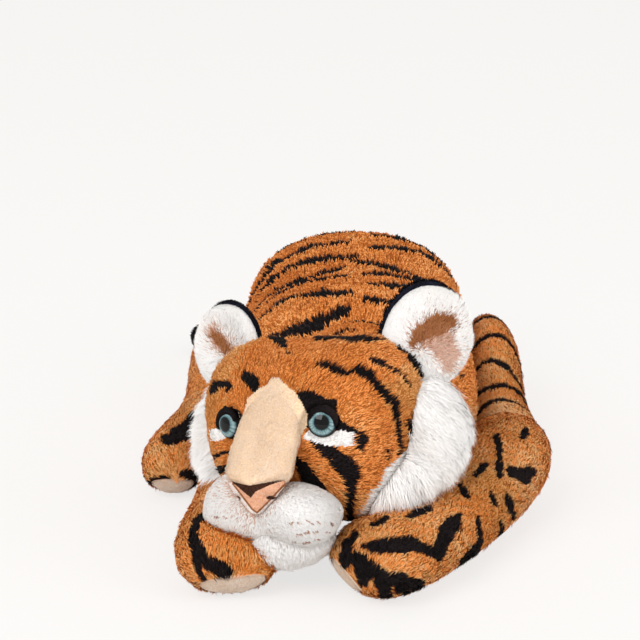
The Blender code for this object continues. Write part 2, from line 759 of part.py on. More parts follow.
def mouth_points():
    """The stitched line of the mouth, below the nose and bowed up in its middle."""
    point = Vector(NOSE_POINT)
    drop = Vector((0, MOUTH_THREAD, -MOUTH_DROP))
    points = []
    for step in range(MOUTH_STEPS + 1):
        across = 2.0 * step / MOUTH_STEPS - 1.0
        back = MOUTH_THREAD * MOUTH_BOW_SHARE * abs(across)
        rise = MOUTH_DROP * MOUTH_RISE_SHARE * (1.0 - abs(across))
        points.append(point + drop + Vector((MOUTH_HALF_WIDTH * across, back, rise)))
    return points


def make_head():
    skin = head_form("head_skin", colour=ORANGE)
    collar = collar_box("collar_cutter")
    neck_room = neck_ball("neck_room", NECK_PLAY)
    head_room = head_form("head_room")
    swell(head_room, GAP)
    stuffing = head_form("head_stuffing", inset=SKIN + STUFFING_GAP, colour=FIBRE)
    hollow = head_form("head_hollow", inset=SKIN)
    cut(hollow, neck_ball("neck_wall", NECK_PLAY + SKIN))
    cut(hollow, collar_box("collar_wall", SKIN))
    cut(skin, neck_room)
    cut(skin, collar)
    cut(skin, hollow)
    cut(stuffing, neck_ball("stuffing_neck_wall", NECK_PLAY + SKIN + STUFFING_GAP))
    cut(stuffing, collar_box("stuffing_collar_wall", SKIN + STUFFING_GAP))
    toward = (Vector(HEAD_PLACE) - NECK).normalized()
    hole_start = toward * (NECK_RADIUS - SKIN)
    hole_end = toward * (NECK_RADIUS + OVERRUN)
    cut(skin, rod("neck_hole", hole_start, hole_end, NECK_HOLE_RADIUS, 16, NECK_JOINT))

    bridge = bridge_form("nose_bridge", CREAM)
    cut(bridge, head_room)
    muzzle = muzzle_form("muzzle", colour=WHITE)
    cut(muzzle, head_room)
    cut(muzzle, bridge_form("bridge_room", grow=GAP))
    nose = nose_form("nose", PINK)
    cut(nose, bridge_form("bridge_room_nose", grow=GAP))
    cut(nose, head_room)
    cut(muzzle, nose_form("nose_room", grow=GAP))
    chin = chin_form("chin", WHITE)
    cut(chin, head_room)
    cut(chin, muzzle_form("muzzle_room", grow=GAP))
    mouth_path = mouth_points()
    tube("mouth_stitching", mouth_path, MOUTH_THREAD, HEAD, THREAD)
    groove = tube("mouth_groove", mouth_path, MOUTH_THREAD + GAP, HEAD)
    cut(muzzle, groove)
    cut(chin, groove)
    for side in (1, -1):
        make_eye(side, skin, stuffing, bridge)
        ruff = ruff_form("ruff_left" if side > 0 else "ruff_right", side, WHITE)
        cut(ruff, head_room)
        make_ear(side, head_room, ruff)
        for cutter in (neck_room, collar):
            cut(ruff, cutter)
        cut(ruff, muzzle_form("muzzle_ruff_room", grow=GAP))
        cut(ruff, chin_form("chin_ruff_room", grow=GAP))


# Limbs


def head_covers(side):
    """The forms of the head that press into the foreleg below them, a clearance larger."""
    room = GAP + GAP
    head = head_form("leg_head_room")
    swell(head, room)
    ruff = ruff_form("leg_ruff_room", side)
    swell(ruff, RUFF_PLAY)
    muzzle = muzzle_form("leg_muzzle_room", grow=room)
    return head, ruff, muzzle, chin_form("leg_chin_room", grow=room)


def floor_box(name, top):
    """All that lies below a height."""
    return box(name, (-REACH, -REACH - REACH, -REACH), (REACH, REACH, top))


def cut_soles(limb, stations, skin, hollow, stuffing, covers):
    """The front lower cap of the paw is a sole of its own, and the rest ends a clearance before it."""
    tilt = math.radians(SOLE_TILT)
    normal = Vector((0, -math.cos(tilt), -math.sin(tilt)))
    reach = max(centre.dot(normal) + high * math.sin(tilt) for centre, _, high in stations)
    tip = stations[-1][0]
    sole_start = tip + normal * (reach - tip.dot(normal) - SOLE_DEPTH)

    def beyond(name, shift):
        start = sole_start + normal * shift
        end = start + normal * limb.half_width
        return rod(limb.name + name, start, end, limb.half_width + limb.half_width, 32, limb.joint)

    name = limb.name.replace("fore", "front_").replace("leg", "sole")
    sole = soft_form(name, stations, LIMB_SIDES, limb.joint, TAN)
    cut(sole, beyond("_sole_room", GAP), "INTERSECT")
    cut(sole, FLOOR)
    for cover in covers:
        cut(sole, cover)
    cut(skin, beyond("_sole_cutter", 0))
    cut(hollow, beyond("_sole_wall", -SKIN))
    cut(stuffing, beyond("_sole_inner", -SKIN - STUFFING_GAP))


def press_head_in(limb, hollow, stuffing, lid):
    """Where the head lies on a foreleg, the leg is flat inside and keeps a wall under the chin."""
    ahead = limb.turn @ Vector((0, -FORELEG_HALF_WIDTH, 0))
    start = limb.place + ahead
    ceiling = limb.place.z + REACH
    for piece, room in ((hollow, 0), (stuffing, STUFFING_GAP + STUFFING_GAP)):
        low = (-REACH, -REACH, lid - room)
        cut(piece, box(piece.name + "_lid", low, (REACH, start.y, ceiling)))
        cut(piece, chin_form(piece.name + "_chin_room", grow=SKIN + room))


def make_limb(limb, covers=(), lid=None):
    stations = limb.stations()
    inner = SKIN + STUFFING_GAP
    skin = soft_form(limb.name + "_skin", stations, LIMB_SIDES, limb.joint, ORANGE)
    hollow = soft_form(limb.name + "_hollow", stations, LIMB_SIDES, limb.joint, inset=SKIN)
    stuffing = soft_form(limb.name + "_stuffing", stations, LIMB_SIDES, limb.joint, FIBRE, inset=inner)
    far = -limb.half_width - limb.half_width - limb.half_width
    for piece, shift in ((skin, 0), (hollow, SKIN), (stuffing, inner)):
        seam = SEAM_GAP + shift
        cut(piece, limb.axle("_room_for_" + piece.name, far, seam, SWEEP_RADIUS + seam))
    cut_soles(limb, stations, skin, hollow, stuffing, covers)
    cut(skin, FLOOR)
    cut(hollow, floor_box(limb.name + "_floor_wall", SKIN))
    cut(stuffing, floor_box(limb.name + "_floor_inner", inner))
    if covers:
        press_head_in(limb, hollow, stuffing, lid)
    for cover in covers:
        cut(skin, cover)
    cut(skin, hollow)
    cut(skin, limb.axle("_sleeve", -SKIN, SKIN + SKIN, SLEEVE_RADIUS, 20))


# Tail


def make_tail():
    stations = []
    for side, back, height, size in TAIL_SHARES:
        up = height * TAIL_RADIUS - FLOOR_CUT - TAIL_ROOT.z
        centre = Vector((side * TAIL_REACH, back * TAIL_REACH, up))
        stations.append((centre, size * TAIL_RADIUS, size * TAIL_RADIUS))
    skin = soft_form("tail_skin", stations, TAIL_SIDES, TAIL_JOINT, ORANGE)
    cut(skin, tail_ball("tail_root", TAIL_ROOT_RADIUS), "UNION")
    cut(skin, soft_form("tail_hollow", stations, TAIL_SIDES, TAIL_JOINT, inset=SKIN))
    mouth = Vector((0, TAIL_ROOT_RADIUS + TAIL_ROOT_RADIUS, 0))
    cut(skin, rod("tail_mouth", -mouth, mouth, TAIL_RADIUS - SKIN - SKIN, 12, TAIL_JOINT))
    cut(skin, FLOOR)
    soft_form("tail_stuffing", stations, TAIL_SIDES, TAIL_JOINT, FIBRE, inset=SKIN + STUFFING_GAP)


make_body()
make_head()
make_limb(FORELEG_LEFT, head_covers(1), LID_LEFT)
make_limb(FORELEG_RIGHT, head_covers(-1), LID_RIGHT)
make_limb(HIND_LEG_LEFT)
make_limb(HIND_LEG_RIGHT)
make_tail()
for part in PARTS.objects:
    if part.type == "MESH" and any(step.type == "BOOLEAN" for step in part.modifiers):
        tidy(part)
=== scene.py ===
"""The dressed plush tiger: covers, pile, stripes, eyes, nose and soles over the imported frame.

Sizes are in metres and angles in degrees. The tiger faces -Y, +X is its left side, and the floor is at 0.
"""

import json
import math

import bmesh
import bpy
import numpy as np
from mathutils import Matrix, Vector
from mathutils.bvhtree import BVHTree

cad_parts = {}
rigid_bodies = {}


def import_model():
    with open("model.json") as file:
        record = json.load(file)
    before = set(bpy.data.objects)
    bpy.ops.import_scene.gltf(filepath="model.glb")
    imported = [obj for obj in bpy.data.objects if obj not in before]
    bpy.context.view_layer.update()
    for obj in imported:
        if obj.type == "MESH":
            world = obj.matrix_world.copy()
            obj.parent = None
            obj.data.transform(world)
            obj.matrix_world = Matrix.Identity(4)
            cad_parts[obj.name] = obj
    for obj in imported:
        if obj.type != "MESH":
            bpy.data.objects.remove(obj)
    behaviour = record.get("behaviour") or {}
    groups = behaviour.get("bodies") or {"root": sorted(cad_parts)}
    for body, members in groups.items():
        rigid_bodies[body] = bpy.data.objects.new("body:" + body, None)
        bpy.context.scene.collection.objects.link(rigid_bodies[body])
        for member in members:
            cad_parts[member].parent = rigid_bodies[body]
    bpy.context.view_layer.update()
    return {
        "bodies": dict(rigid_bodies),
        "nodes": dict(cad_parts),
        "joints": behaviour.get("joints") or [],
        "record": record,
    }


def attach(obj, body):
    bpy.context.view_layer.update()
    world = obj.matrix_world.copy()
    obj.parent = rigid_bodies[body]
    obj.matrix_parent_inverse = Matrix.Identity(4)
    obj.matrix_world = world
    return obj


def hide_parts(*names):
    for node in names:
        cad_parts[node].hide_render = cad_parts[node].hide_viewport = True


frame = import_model()

# Forms, as in the part's source. A name ending in SHARE or SHARES holds plain ratios.

FLOOR_CUT = 0.0005
FORM_SIDES = 10
LIMB_SIDES = 8
BODY_LENGTH = 0.349
BODY_FRONT = -0.118
BODY_HALF_WIDTH = 0.1015
BODY_HEIGHT = 0.165
BODY_SHARES = (
    (0.000, 0.66, 0.08, 0.50),
    (0.028, 0.86, 0.00, 0.62),
    (0.076, 0.955, 0.00, 0.70),
    (0.145, 1.00, 0.00, 0.84),
    (0.240, 1.00, 0.00, 0.96),
    (0.380, 0.99, 0.00, 0.98),
    (0.530, 0.97, 0.00, 0.93),
    (0.690, 1.01, 0.00, 0.99),
    (0.830, 0.96, 0.00, 1.00),
    (0.930, 0.78, 0.03, 0.86),
    (1.000, 0.40, 0.16, 0.62),
)
NECK = (0.0, -0.122, 0.098)
NECK_RADIUS = 0.062

HEAD_PLACE = (-0.0272, -0.209, 0.094)
HEAD_TURN = (
    Matrix.Rotation(math.radians(-28.3), 4, "Z")
    @ Matrix.Rotation(math.radians(-12.2), 4, "X")
    @ Matrix.Rotation(math.radians(-10.1), 4, "Y")
)
HEAD = Matrix.Translation(HEAD_PLACE) @ HEAD_TURN
HEAD_HALF_WIDTH = 0.088
HEAD_HALF_DEPTH = 0.084
HEAD_HALF_HEIGHT = 0.083
HEAD_SHARES = (
    (0.98, 0.48, 0.14, 0.44),
    (0.72, 0.82, 0.12, 0.74),
    (0.30, 1.00, 0.12, 0.88),
    (-0.12, 1.02, 0.11, 0.89),
    (-0.48, 0.96, 0.08, 0.84),
    (-0.76, 0.82, 0.04, 0.72),
    (-0.96, 0.64, 0.00, 0.52),
    (-1.07, 0.36, -0.04, 0.32),
)
RUFF_RADIUS = 0.094
RUFF_RISE = 0.070
RUFF_DROP = 0.044
RUFF_REACH = 0.021
RUFF_DEPTH = 0.026
RUFF_BACK = 0.006
RUFF_FORWARD = 0.040
RUFF_START = 52.0
RUFF_END = -70.0
RUFF_FLARE_SHARES = (0.45, 0.8, 1.0, 1.08, 1.06, 1.0, 0.94, 0.86)
MUZZLE_HALVES = (0.060, 0.034, 0.030)
MUZZLE_PLACE = (0.0, -0.088, -0.047)
MUZZLE_SHARES = ((0.98, 0.36), (0.86, 0.72), (0.62, 0.97), (0.34, 1.0), (0.0, 0.84))
CHIN_HALVES = (0.039, 0.034, 0.025)
CHIN_PLACE = (0.0, -0.076, -0.068)
BRIDGE_HALF_WIDTH = 0.027
BRIDGE_HALF_HEIGHT = 0.013
BRIDGE_TOP = (0.0, -0.052, 0.052)
BRIDGE_FOOT = (0.0, -0.110, -0.020)
BRIDGE_BULGE = 0.010
BRIDGE_SHARES = (
    (0.10, 0.30, 0.50), (0.17, 0.54, 0.75), (0.27, 0.80, 0.90), (0.40, 0.94, 0.97), (0.58, 1.00, 1.0),
    (0.80, 1.00, 1.0), (0.98, 1.02, 0.95), (1.05, 0.98, 0.70),
)
BRIDGE_LIFT = 0.0006  # how far its upper end stands out of the forehead
BRIDGE_FREE = 0.45  # the share of its length above which the bridge is lifted out of the forehead
BRIDGE_STAND = 0.045  # how steeply it comes out of the forehead, before it stands free
BRIDGE_ROOT = 0.002  # how deep its underside lies in the face
BRIDGE_POINT = 0.005  # how far its lower edge comes to a point in the middle
BRIDGE_CORNER_LIFT = 0.003  # how far that edge rises at its ends
PROW_REACH = 0.009  # how far the bridge and the nose stand forward in the middle
NOSE_HALF_WIDTH = 0.026
NOSE_HALF_DEPTH = 0.008
NOSE_TOP = (0.0, -0.1115, -0.0215)
NOSE_POINT = (0.0, -0.1165, -0.047)
NOSE_SHARES = ((0.0, 0.95), (0.35, 0.72), (0.70, 0.37), (1.0, 0.12))
NOSE_CORNER_LIFT = 0.005
NOSE_WIDEN = 0.22  # the share that its upper edge is widened by
EYE_PLACE = (0.0397, -0.0795, 0.0195)
EYE_TURN = 20.0
EYE_RADIUS = 0.012
EYE_HEIGHT = 0.0075
SOCKET_RADIUS = 0.0128
SOCKET_SLOPE = 0.009
SOCKET_FLOOR = 0.0004
EAR_PLACE = (0.086, 0.006, 0.078)
EAR_HALVES = (0.037, 0.011, 0.040)
EAR_TILT = 26.0
EAR_TURN = 14.0
EAR_SPLIT = 0.001
EAR_CUP_RADIUS = 0.034
EAR_CUP_WIDTH = 0.0272
EAR_CUP_DEPTH = 0.007

FORELEG_SIZE = (0.203, 0.040, 0.037)
FORELEG_RIGHT_SHARES = (
    (-0.165, 0.10, 1.30, 0.34, 0.42),
    (-0.085, 0.10, 1.32, 0.52, 0.84),
    (0.060, 0.10, 1.26, 0.56, 1.00),
    (0.240, 0.06, 1.06, 0.66, 0.98),
    (0.420, 0.00, 0.96, 0.80, 0.95),
    (0.640, -0.04, 0.92, 0.94, 0.93),
    (0.880, 0.06, 0.88, 1.08, 0.90),
    (1.070, 0.06, 0.88, 1.10, 0.90),
    (1.190, 0.06, 0.76, 0.82, 0.64),
)
FORELEG_LEFT_SHARES = (
    (-0.180, 0.50, 1.30, 0.50, 0.46),
    (-0.090, 0.70, 1.34, 0.86, 0.90),
    (0.060, 0.86, 1.28, 1.08, 1.08),
    (0.260, 1.00, 1.08, 1.02, 1.04),
    (0.480, 1.06, 0.94, 0.98, 0.94),
    (0.760, 1.02, 0.90, 1.06, 0.91),
    (1.060, 0.84, 0.90, 1.16, 0.92),
    (1.235, 0.68, 0.78, 0.84, 0.64),
)
SHOULDER_RIGHT = (-0.100, -0.086, 0.050)
SHOULDER_LEFT = (0.096, -0.100, 0.050)
LEFT_TURN = -30.5
HIND_SIZE = (0.226, 0.033, 0.031)
HIND_ROOT_SHARES = (
    (-0.215, 0.40, 1.72, 0.40, 0.62),
    (-0.130, 0.62, 1.80, 0.70, 1.26),
    (0.000, 0.72, 1.78, 0.84, 1.52),
)
HIND_RIGHT_SHARES = HIND_ROOT_SHARES + (
    (0.220, 0.72, 1.50, 0.86, 1.30),
    (0.460, 0.78, 1.10, 0.84, 1.04),
    (0.700, 1.36, 1.00, 0.84, 1.00),
    (0.900, 1.74, 0.96, 0.90, 0.98),
    (0.990, 1.80, 0.84, 0.66, 0.66),
)
HIND_LEFT_SHARES = HIND_ROOT_SHARES + (
    (0.180, 0.72, 1.46, 0.86, 1.28),
    (0.360, 0.74, 1.10, 0.84, 1.04),
    (0.520, 0.84, 1.00, 0.86, 1.00),
    (0.680, 0.92, 0.96, 0.94, 0.98),
    (0.750, 0.92, 0.84, 0.66, 0.66),
)
HIP_LEFT = (0.100, 0.112, 0.058)
HIP_RIGHT = (-0.100, 0.112, 0.058)
SOLE_INSET = 0.0006
TAIL_RADIUS = 0.016
TAIL_ROOT = (0.0, 0.227, 0.046)
TAIL_REACH = 0.150
TAIL_SHARES = (
    (0.000, -0.090, 2.95, 0.62),
    (0.000, 0.050, 2.86, 0.92),
    (-0.010, 0.200, 2.40, 1.00),
    (-0.080, 0.400, 1.50, 1.00),
    (-0.260, 0.580, 1.06, 1.02),
    (-0.520, 0.680, 1.02, 1.04),
    (-0.800, 0.660, 1.02, 1.02),
    (-1.000, 0.560, 0.98, 0.90),
    (-1.060, 0.520, 0.94, 0.56),
)

# Camera, as the photograph stands to the tiger. The photograph is 640 pixels square.

VIEW_TARGET = np.array((-0.032, -0.205, 0.191))
VIEW_DISTANCE = 2.0
VIEW_ELEVATION = 17.0
LENS = 144.0
SENSOR = 36.0
FRAME_PIXELS = 640.0
CAMERA_UP = math.radians(VIEW_ELEVATION)
TO_CAMERA = np.array((0.0, -math.cos(CAMERA_UP), math.sin(CAMERA_UP)))
CAMERA_PLACE = VIEW_TARGET + VIEW_DISTANCE * TO_CAMERA
FRAME_UP = np.array((0.0, math.sin(CAMERA_UP), math.cos(CAMERA_UP)))


def to_frame(points):
    """Where points of the tiger fall in the photograph, in its pixels."""
    offset = points - CAMERA_PLACE
    depth = -(offset @ TO_CAMERA)
    focal = FRAME_PIXELS * LENS / SENSOR
    across = FRAME_PIXELS / 2 + focal * offset[:, 0] / depth
    down = FRAME_PIXELS / 2 - focal * (offset @ FRAME_UP) / depth
    return np.stack((across, down), axis=1)


def facing(points, normals):
    toward = CAMERA_PLACE - points
    toward /= np.linalg.norm(toward, axis=1)[:, None]
    return (toward * normals).sum(axis=1)


# Stripes and patches as the photograph shows them: across, down and half width, in its pixels.

HEAD_STRIPES = (
    ((274.6, 327.7, 1.2), (284, 328.7, 2.2), (294.7, 331.6, 1.0)),
    ((301.4, 330.6, 0.8), (310, 333.5, 2.2), (316.7, 339.2, 3.0), (326.3, 340.2, 1.8),
     (337.7, 339.2, 1.3), (346.4, 340.2, 2.5), (353, 339.2, 5.0), (360.7, 338.3, 3.5),
     (372.2, 340.8, 1.6), (384.6, 342.5, 0.8)),
    ((266, 337.3, 1.5), (274.6, 339.2, 3.0), (282.3, 344, 4.0), (286, 347.8, 2.5)),
    ((288, 355.8, 0.9), (291, 355.5, 0.9)),
    ((319.6, 366, 2.0), (328.2, 367.9, 3.2), (337.7, 370.8, 3.4), (346.4, 373.7, 2.2)),
    ((351.1, 369.8, 1.5), (358.8, 370.8, 4.0), (368.4, 375.6, 4.2), (376, 384.2, 3.2),
     (383.7, 393.7, 3.6), (391.3, 401.4, 4.2), (394, 411, 3.0), (397, 424, 2.2),
     (398, 436, 2.2), (398.8, 446, 1.6), (398.6, 453, 0.9)),
    ((370.3, 359.3, 1.0), (378, 363, 3.0), (387.5, 368, 3.0), (399, 373.7, 1.2)),
    ((402.8, 377.5, 0.9), (408.5, 384.2, 0.8)),
    ((397, 347.8, 0.8), (406.6, 354.5, 1.5), (416.2, 366, 2.0), (422.9, 378.4, 2.2), (424.8, 388, 1.0)),
    ((356.9, 323.9, 1.0), (366.4, 325.8, 2.5), (379.8, 326.8, 1.5)),
    ((245, 372.7, 1.5), (247.5, 378.4, 4.2), (254, 383.2, 5.5), (256.4, 389.9, 3.0)),
    ((214.3, 392.8, 1.5), (217.2, 385.1, 3.5), (224.9, 382.3, 2.0), (229.7, 386, 3.5), (227.7, 391.8, 1.5)),
    ((221.0, 413.5, 2.0), (226.2, 409.5, 3.0), (234.2, 412.5, 3.5), (241.6, 418.8, 3.0)),
    ((310.5, 441.6, 1.0), (318.6, 445.6, 3.5), (332, 455, 6.5), (344, 465.7, 9.0), (350.7, 476.4, 7.5),
     (350, 487, 5.0), (349.4, 500.5, 3.5), (351, 511.2, 2.5), (349.4, 522, 2.0), (344, 528.7, 1.2)),
    ((295.8, 459, 2.0), (302.5, 465.7, 5.5), (309.2, 476.4, 7.5), (317.2, 484.5, 6.0), (326, 492, 2.0)),
    ((212, 457.7, 2.2), (220.8, 453, 1.2), (230.2, 451, 0.8)),
    ((216, 472.4, 2.5), (222, 468.4, 3.8), (226, 467, 3.0)),
    ((386.4, 449.5, 0.7), (385.8, 463, 0.7)),
    ((407, 419, 1.0), (409.5, 429, 1.6), (411, 438, 0.9)),
)
BRIDGE_OUTLINE = (
    (281, 380), (287, 385), (295, 393), (303, 405), (309, 416), (308, 425), (294, 446), (292, 478),
    (243, 489), (225, 472), (230, 449), (241, 424), (247, 400), (260, 388),
)
NOSE_EDGE = ((233, 484, 0), (252, 509, 0), (257, 512.6, 0), (267, 503, 0), (286, 483, 0))
NOSE_BAND = (
    (226, 470), (292, 470), (291, 478.5), (270, 485), (255.5, 491.7), (250.9, 498), (245, 493), (233, 483),
)
NEAR_EAR_HOLLOW = ((414, 343, 3), (424, 332, 8), (438, 325, 10), (450, 322, 6))
NEAR_EAR_FADE = ((425, 338, 8), (440, 340, 12), (448, 355, 8), (449, 364, 4))
FAR_EAR_HOLLOW = ((217, 336, 3), (222, 343, 4), (228, 350, 3))
FAR_EAR_FADE = ((214, 332, 3), (222, 343, 6), (232, 352, 5))
NEAR_EYE_PATCH = (
    (295.8, 392.7), (313, 391.0), (325, 399.4), (336, 398.7), (338, 402), (337.5, 412), (342, 421),
    (356, 430), (365, 434), (367.5, 441.6), (362.8, 453.5), (357, 448.5), (353.5, 434), (345, 429.5),
    (330, 431), (312, 430), (306.5, 426), (307, 415), (301, 407),
)
NEAR_EYE_WHITE = (
    (302, 438.6), (303.2, 435.6), (311.2, 428.9), (318, 432), (330, 432), (344, 429.0), (350.7, 431.8),
    (353.9, 437.6), (353.4, 443.8), (344, 445.8), (332, 446.8), (321.2, 444.6), (310.5, 440.8),
)
FAR_EYE_WHITE = (
    (210.5, 433), (214, 429), (220, 424), (226, 428), (238.5, 430), (237.5, 433.8), (226.2, 438),
    (216.8, 441), (212, 438.6),
)
CHEEK_WHITE = (
    (427, 352), (426, 378), (426, 413), (420, 437), (412, 447), (399, 455), (385.7, 468), (378, 480),
    (369, 495), (359, 512), (351, 522), (345, 530), (345, 600), (540, 600), (540, 352),
)
FORELEG_LEFT_STRIPES = (
    ((365.2, 547.4, 1.5), (374, 547.4, 4.5), (388.7, 545.9, 6.5), (403.3, 545.4, 8.5), (412, 543.5, 6.5),
     (421, 547.4, 4.5), (431.2, 551.8, 4.5), (437, 556.2, 5.0), (441.5, 544.4, 6.5), (445.9, 532.7, 7.5),
     (453.2, 523.9, 6.5), (457.6, 516.5, 3.0)),
    ((357.9, 534.1, 2.0), (349, 544.4, 4.5), (345.4, 556.2, 4.5), (346, 565, 3.5)),
    ((347, 555, 3.0), (359.3, 559, 7.0), (372.5, 569.4, 7.5), (388.7, 576.7, 5.5), (403.3, 581, 6.5),
     (418, 585.5, 7.0), (426.8, 592.8, 3.0)),
    ((360.8, 568, 5.0), (364.5, 582, 4.5)),
    ((380, 576, 6.0), (384.3, 585.5, 6.5), (387.2, 597.2, 6.0), (394.5, 608, 5.5), (407, 612.6, 3.5)),
    ((399, 586.4, 4.5), (405, 592, 2.5)),
    ((477.4, 518, 1.2), (478.9, 529.7, 1.8), (478.1, 543, 2.5), (470.8, 553.2, 4.0), (463.5, 563.5, 5.0),
     (456.2, 570.8, 2.5), (445.9, 576.7, 1.5)),
    ((499.4, 521, 0.9), (500.2, 529.7, 1.7), (497.2, 541.5, 2.1), (492.8, 551.8, 1.8), (489.2, 559, 0.8)),
    ((489.9, 493, 0.8), (492, 499, 2.0), (495, 506.3, 1.0)),
    ((505.3, 496, 2.5), (509, 503.3, 4.0), (511.9, 512.1, 2.5), (513, 518, 0.8)),
    ((461.3, 486.5, 2.0), (463.5, 493, 3.0), (466.4, 498.2, 1.2)),
    ((407.7, 518, 1.5), (418, 513.6, 4.0), (429.7, 510, 2.5)),
    ((372.5, 525.3, 1.5), (379.9, 523, 2.5), (387.2, 519.5, 1.2)),
    ((497.2, 437.3, 2.0), (498.7, 449, 2.5), (498.7, 459.3, 2.0), (499.4, 469.6, 2.8), (499.4, 477, 1.5)),
    ((476.7, 475.5, 2.5), (481, 469.6, 4.0), (488.4, 465.2, 1.0)),
    ((511.9, 472.5, 5.0), (520.7, 475.5, 6.5), (529.5, 471, 4.5)),
    ((520, 475, 4.0), (525, 480, 4.0)),
    ((525, 433, 3.5), (522, 438.8, 2.0)),
)
FORELEG_RIGHT_STRIPES = (
    ((205, 517, 1.5), (198, 521, 2.5), (194, 531.3, 3.0), (194, 540.7, 4.5), (199.4, 551.4, 7.0),
     (207.4, 558.5, 5.5), (216.8, 564.8, 6.0), (224.8, 571.5, 6.5), (219.5, 578.2, 3.5)),
    ((196, 555, 4.0), (198, 564.8, 3.5), (204.7, 578.2, 3.0), (207.4, 583.6, 1.5)),
)
HIND_RIGHT_STRIPES = (
    ((149, 493, 1.5), (149, 483, 2.5), (157, 478.5, 3.0), (168, 478, 2.0)),
    ((165, 441, 3.5), (175, 438, 6.5), (188, 430, 9.0), (194, 420, 6.0)),
    ((184, 472, 3.0), (191, 476, 6.0), (193, 483, 2.5)),
)
WHISKER_MARKS = (
    ((288, 523.6, 0.9), (293, 522.6, 1.0)), ((299, 522.8, 1.1), (303, 522.4, 0.8)),
    ((307, 521.0, 1.0), (312, 523.0, 1.2)), ((317, 522, 0.8), (320, 523, 0.8)),
    ((330, 524.0, 1.3), (332, 525, 1.3)), ((296, 534.4, 0.9), (301, 533.4, 0.9)),
    ((304, 532.6, 1.1), (309, 531.4, 1.1)), ((313, 531.2, 0.8), (318, 531.0, 0.8)),
    ((325, 531.6, 0.8), (329, 532.2, 0.8)), ((293, 541.6, 0.9), (296, 541.6, 0.9)),
    ((304, 542.4, 0.9), (309, 541.2, 1.0)), ((315, 538.6, 1.1), (318, 538.8, 1.1)),
    ((216, 516.6, 1.0), (218, 517.5, 1.0)), ((224, 517.0, 1.0), (226, 518, 0.8)),
    ((216.5, 525, 0.8), (218, 526, 0.8)), ((223, 532.6, 0.8), (225, 533.4, 0.8)),
)

# Materials


def linear(written):
    """An sRGB hex colour as linear light."""
    channels = [int(written[start:start + 2], 16) / 255 for start in (1, 3, 5)]
    return tuple(c / 12.92 if c <= 0.04045 else ((c + 0.055) / 1.055) ** 2.4 for c in channels) + (1.0,)


def node(tree, kind, joined=None, **settings):
    """Adds a node with its settings. A joined socket takes another node's output or a plain value."""
    made = tree.nodes.new(kind)
    for key, value in settings.items():
        setattr(made, key, value)
    for socket, source in (joined or {}).items():
        if isinstance(source, bpy.types.NodeSocket):
            tree.links.new(source, made.inputs[socket])
        else:
            made.inputs[socket].default_value = source
    return made


def finish_of(name, **values):
    """A new material and its shader, with plain values set on the shader's own sockets."""
    made = bpy.data.materials.new(name)
    made.use_nodes = True
    shader = made.node_tree.nodes["Principled BSDF"]
    for socket, value in values.items():
        shader.inputs[socket.replace("_", " ")].default_value = value
    return made, made.node_tree, shader


def ramp(tree, factor, stops):
    """A colour ramp of places and hex colours."""
    made = node(tree, "ShaderNodeValToRGB", {"Fac": factor})
    ends = made.color_ramp.elements
    while len(ends) < len(stops):
        ends.new(0.5)
    for stop, (place, colour) in zip(ends, stops):
        stop.position = place
        stop.color = linear(colour)
    return made.outputs["Color"]


def noise(tree, place, scale, detail, distortion=0.0):
    joined = {"Vector": place, "Scale": scale, "Detail": detail, "Distortion": distortion}
    return node(tree, "ShaderNodeTexNoise", joined).outputs["Fac"]


def own_place(tree):
    """Where a point lies on its object, for textures that stay with it."""
    return node(tree, "ShaderNodeTexCoord").outputs["Object"]


def bumped(tree, shader, height, **values):
    """Roughens a surface by a height, with the bump's own plain values."""
    made = node(tree, "ShaderNodeBump", {"Height": height, **values})
    tree.links.new(made.outputs["Normal"], shader.inputs["Normal"])


PILE_GRAIN = 0.0014  # a tuft of pile is finer than this, and is drawn as coarse as it shows


def woven_plush(name, dark, middle, light, sheen=0.35):
    """Knitted plush cloth with cut pile: a painted highlight where short tufts catch light at their tips, and
    painted shade between them.
    """
    made, tree, shader = finish_of(
        name, Roughness=0.92, Sheen_Weight=sheen, Sheen_Roughness=0.45, Specular_IOR_Level=0.12,
    )
    shader.inputs["Sheen Tint"].default_value = linear(light)
    place = own_place(tree)
    tufts = noise(tree, place, 1 / PILE_GRAIN, 4.0)
    drift = noise(tree, place, 60.0, 2.0)
    blend = node(tree, "ShaderNodeMix", {"Factor": 0.35, "A": tufts, "B": drift})
    shade = ramp(tree, blend.outputs["Result"], ((0.36, dark), (0.5, middle), (0.62, light)))
    tree.links.new(shade, shader.inputs["Base Color"])
    bumped(tree, shader, tufts, Strength=0.8, Distance=0.0012)
    return made


def pile_fibre(name, colour, sheen=0.25):
    """One shade of polyester pile fibre: matt along its length, with a soft glow at a grazing angle."""
    made, tree, shader = finish_of(
        name, Base_Color=linear(colour), Sheen_Weight=sheen, Sheen_Roughness=0.4, Specular_IOR_Level=0.15,
    )
    shader.inputs["Sheen Tint"].default_value = linear(colour)
    place = own_place(tree)
    wear = noise(tree, place, 140.0, 2.0)
    rough = node(tree, "ShaderNodeMapRange", {"Value": wear, "To Min": 0.72, "To Max": 0.95})
    tree.links.new(rough.outputs["Result"], shader.inputs["Roughness"])
    return made


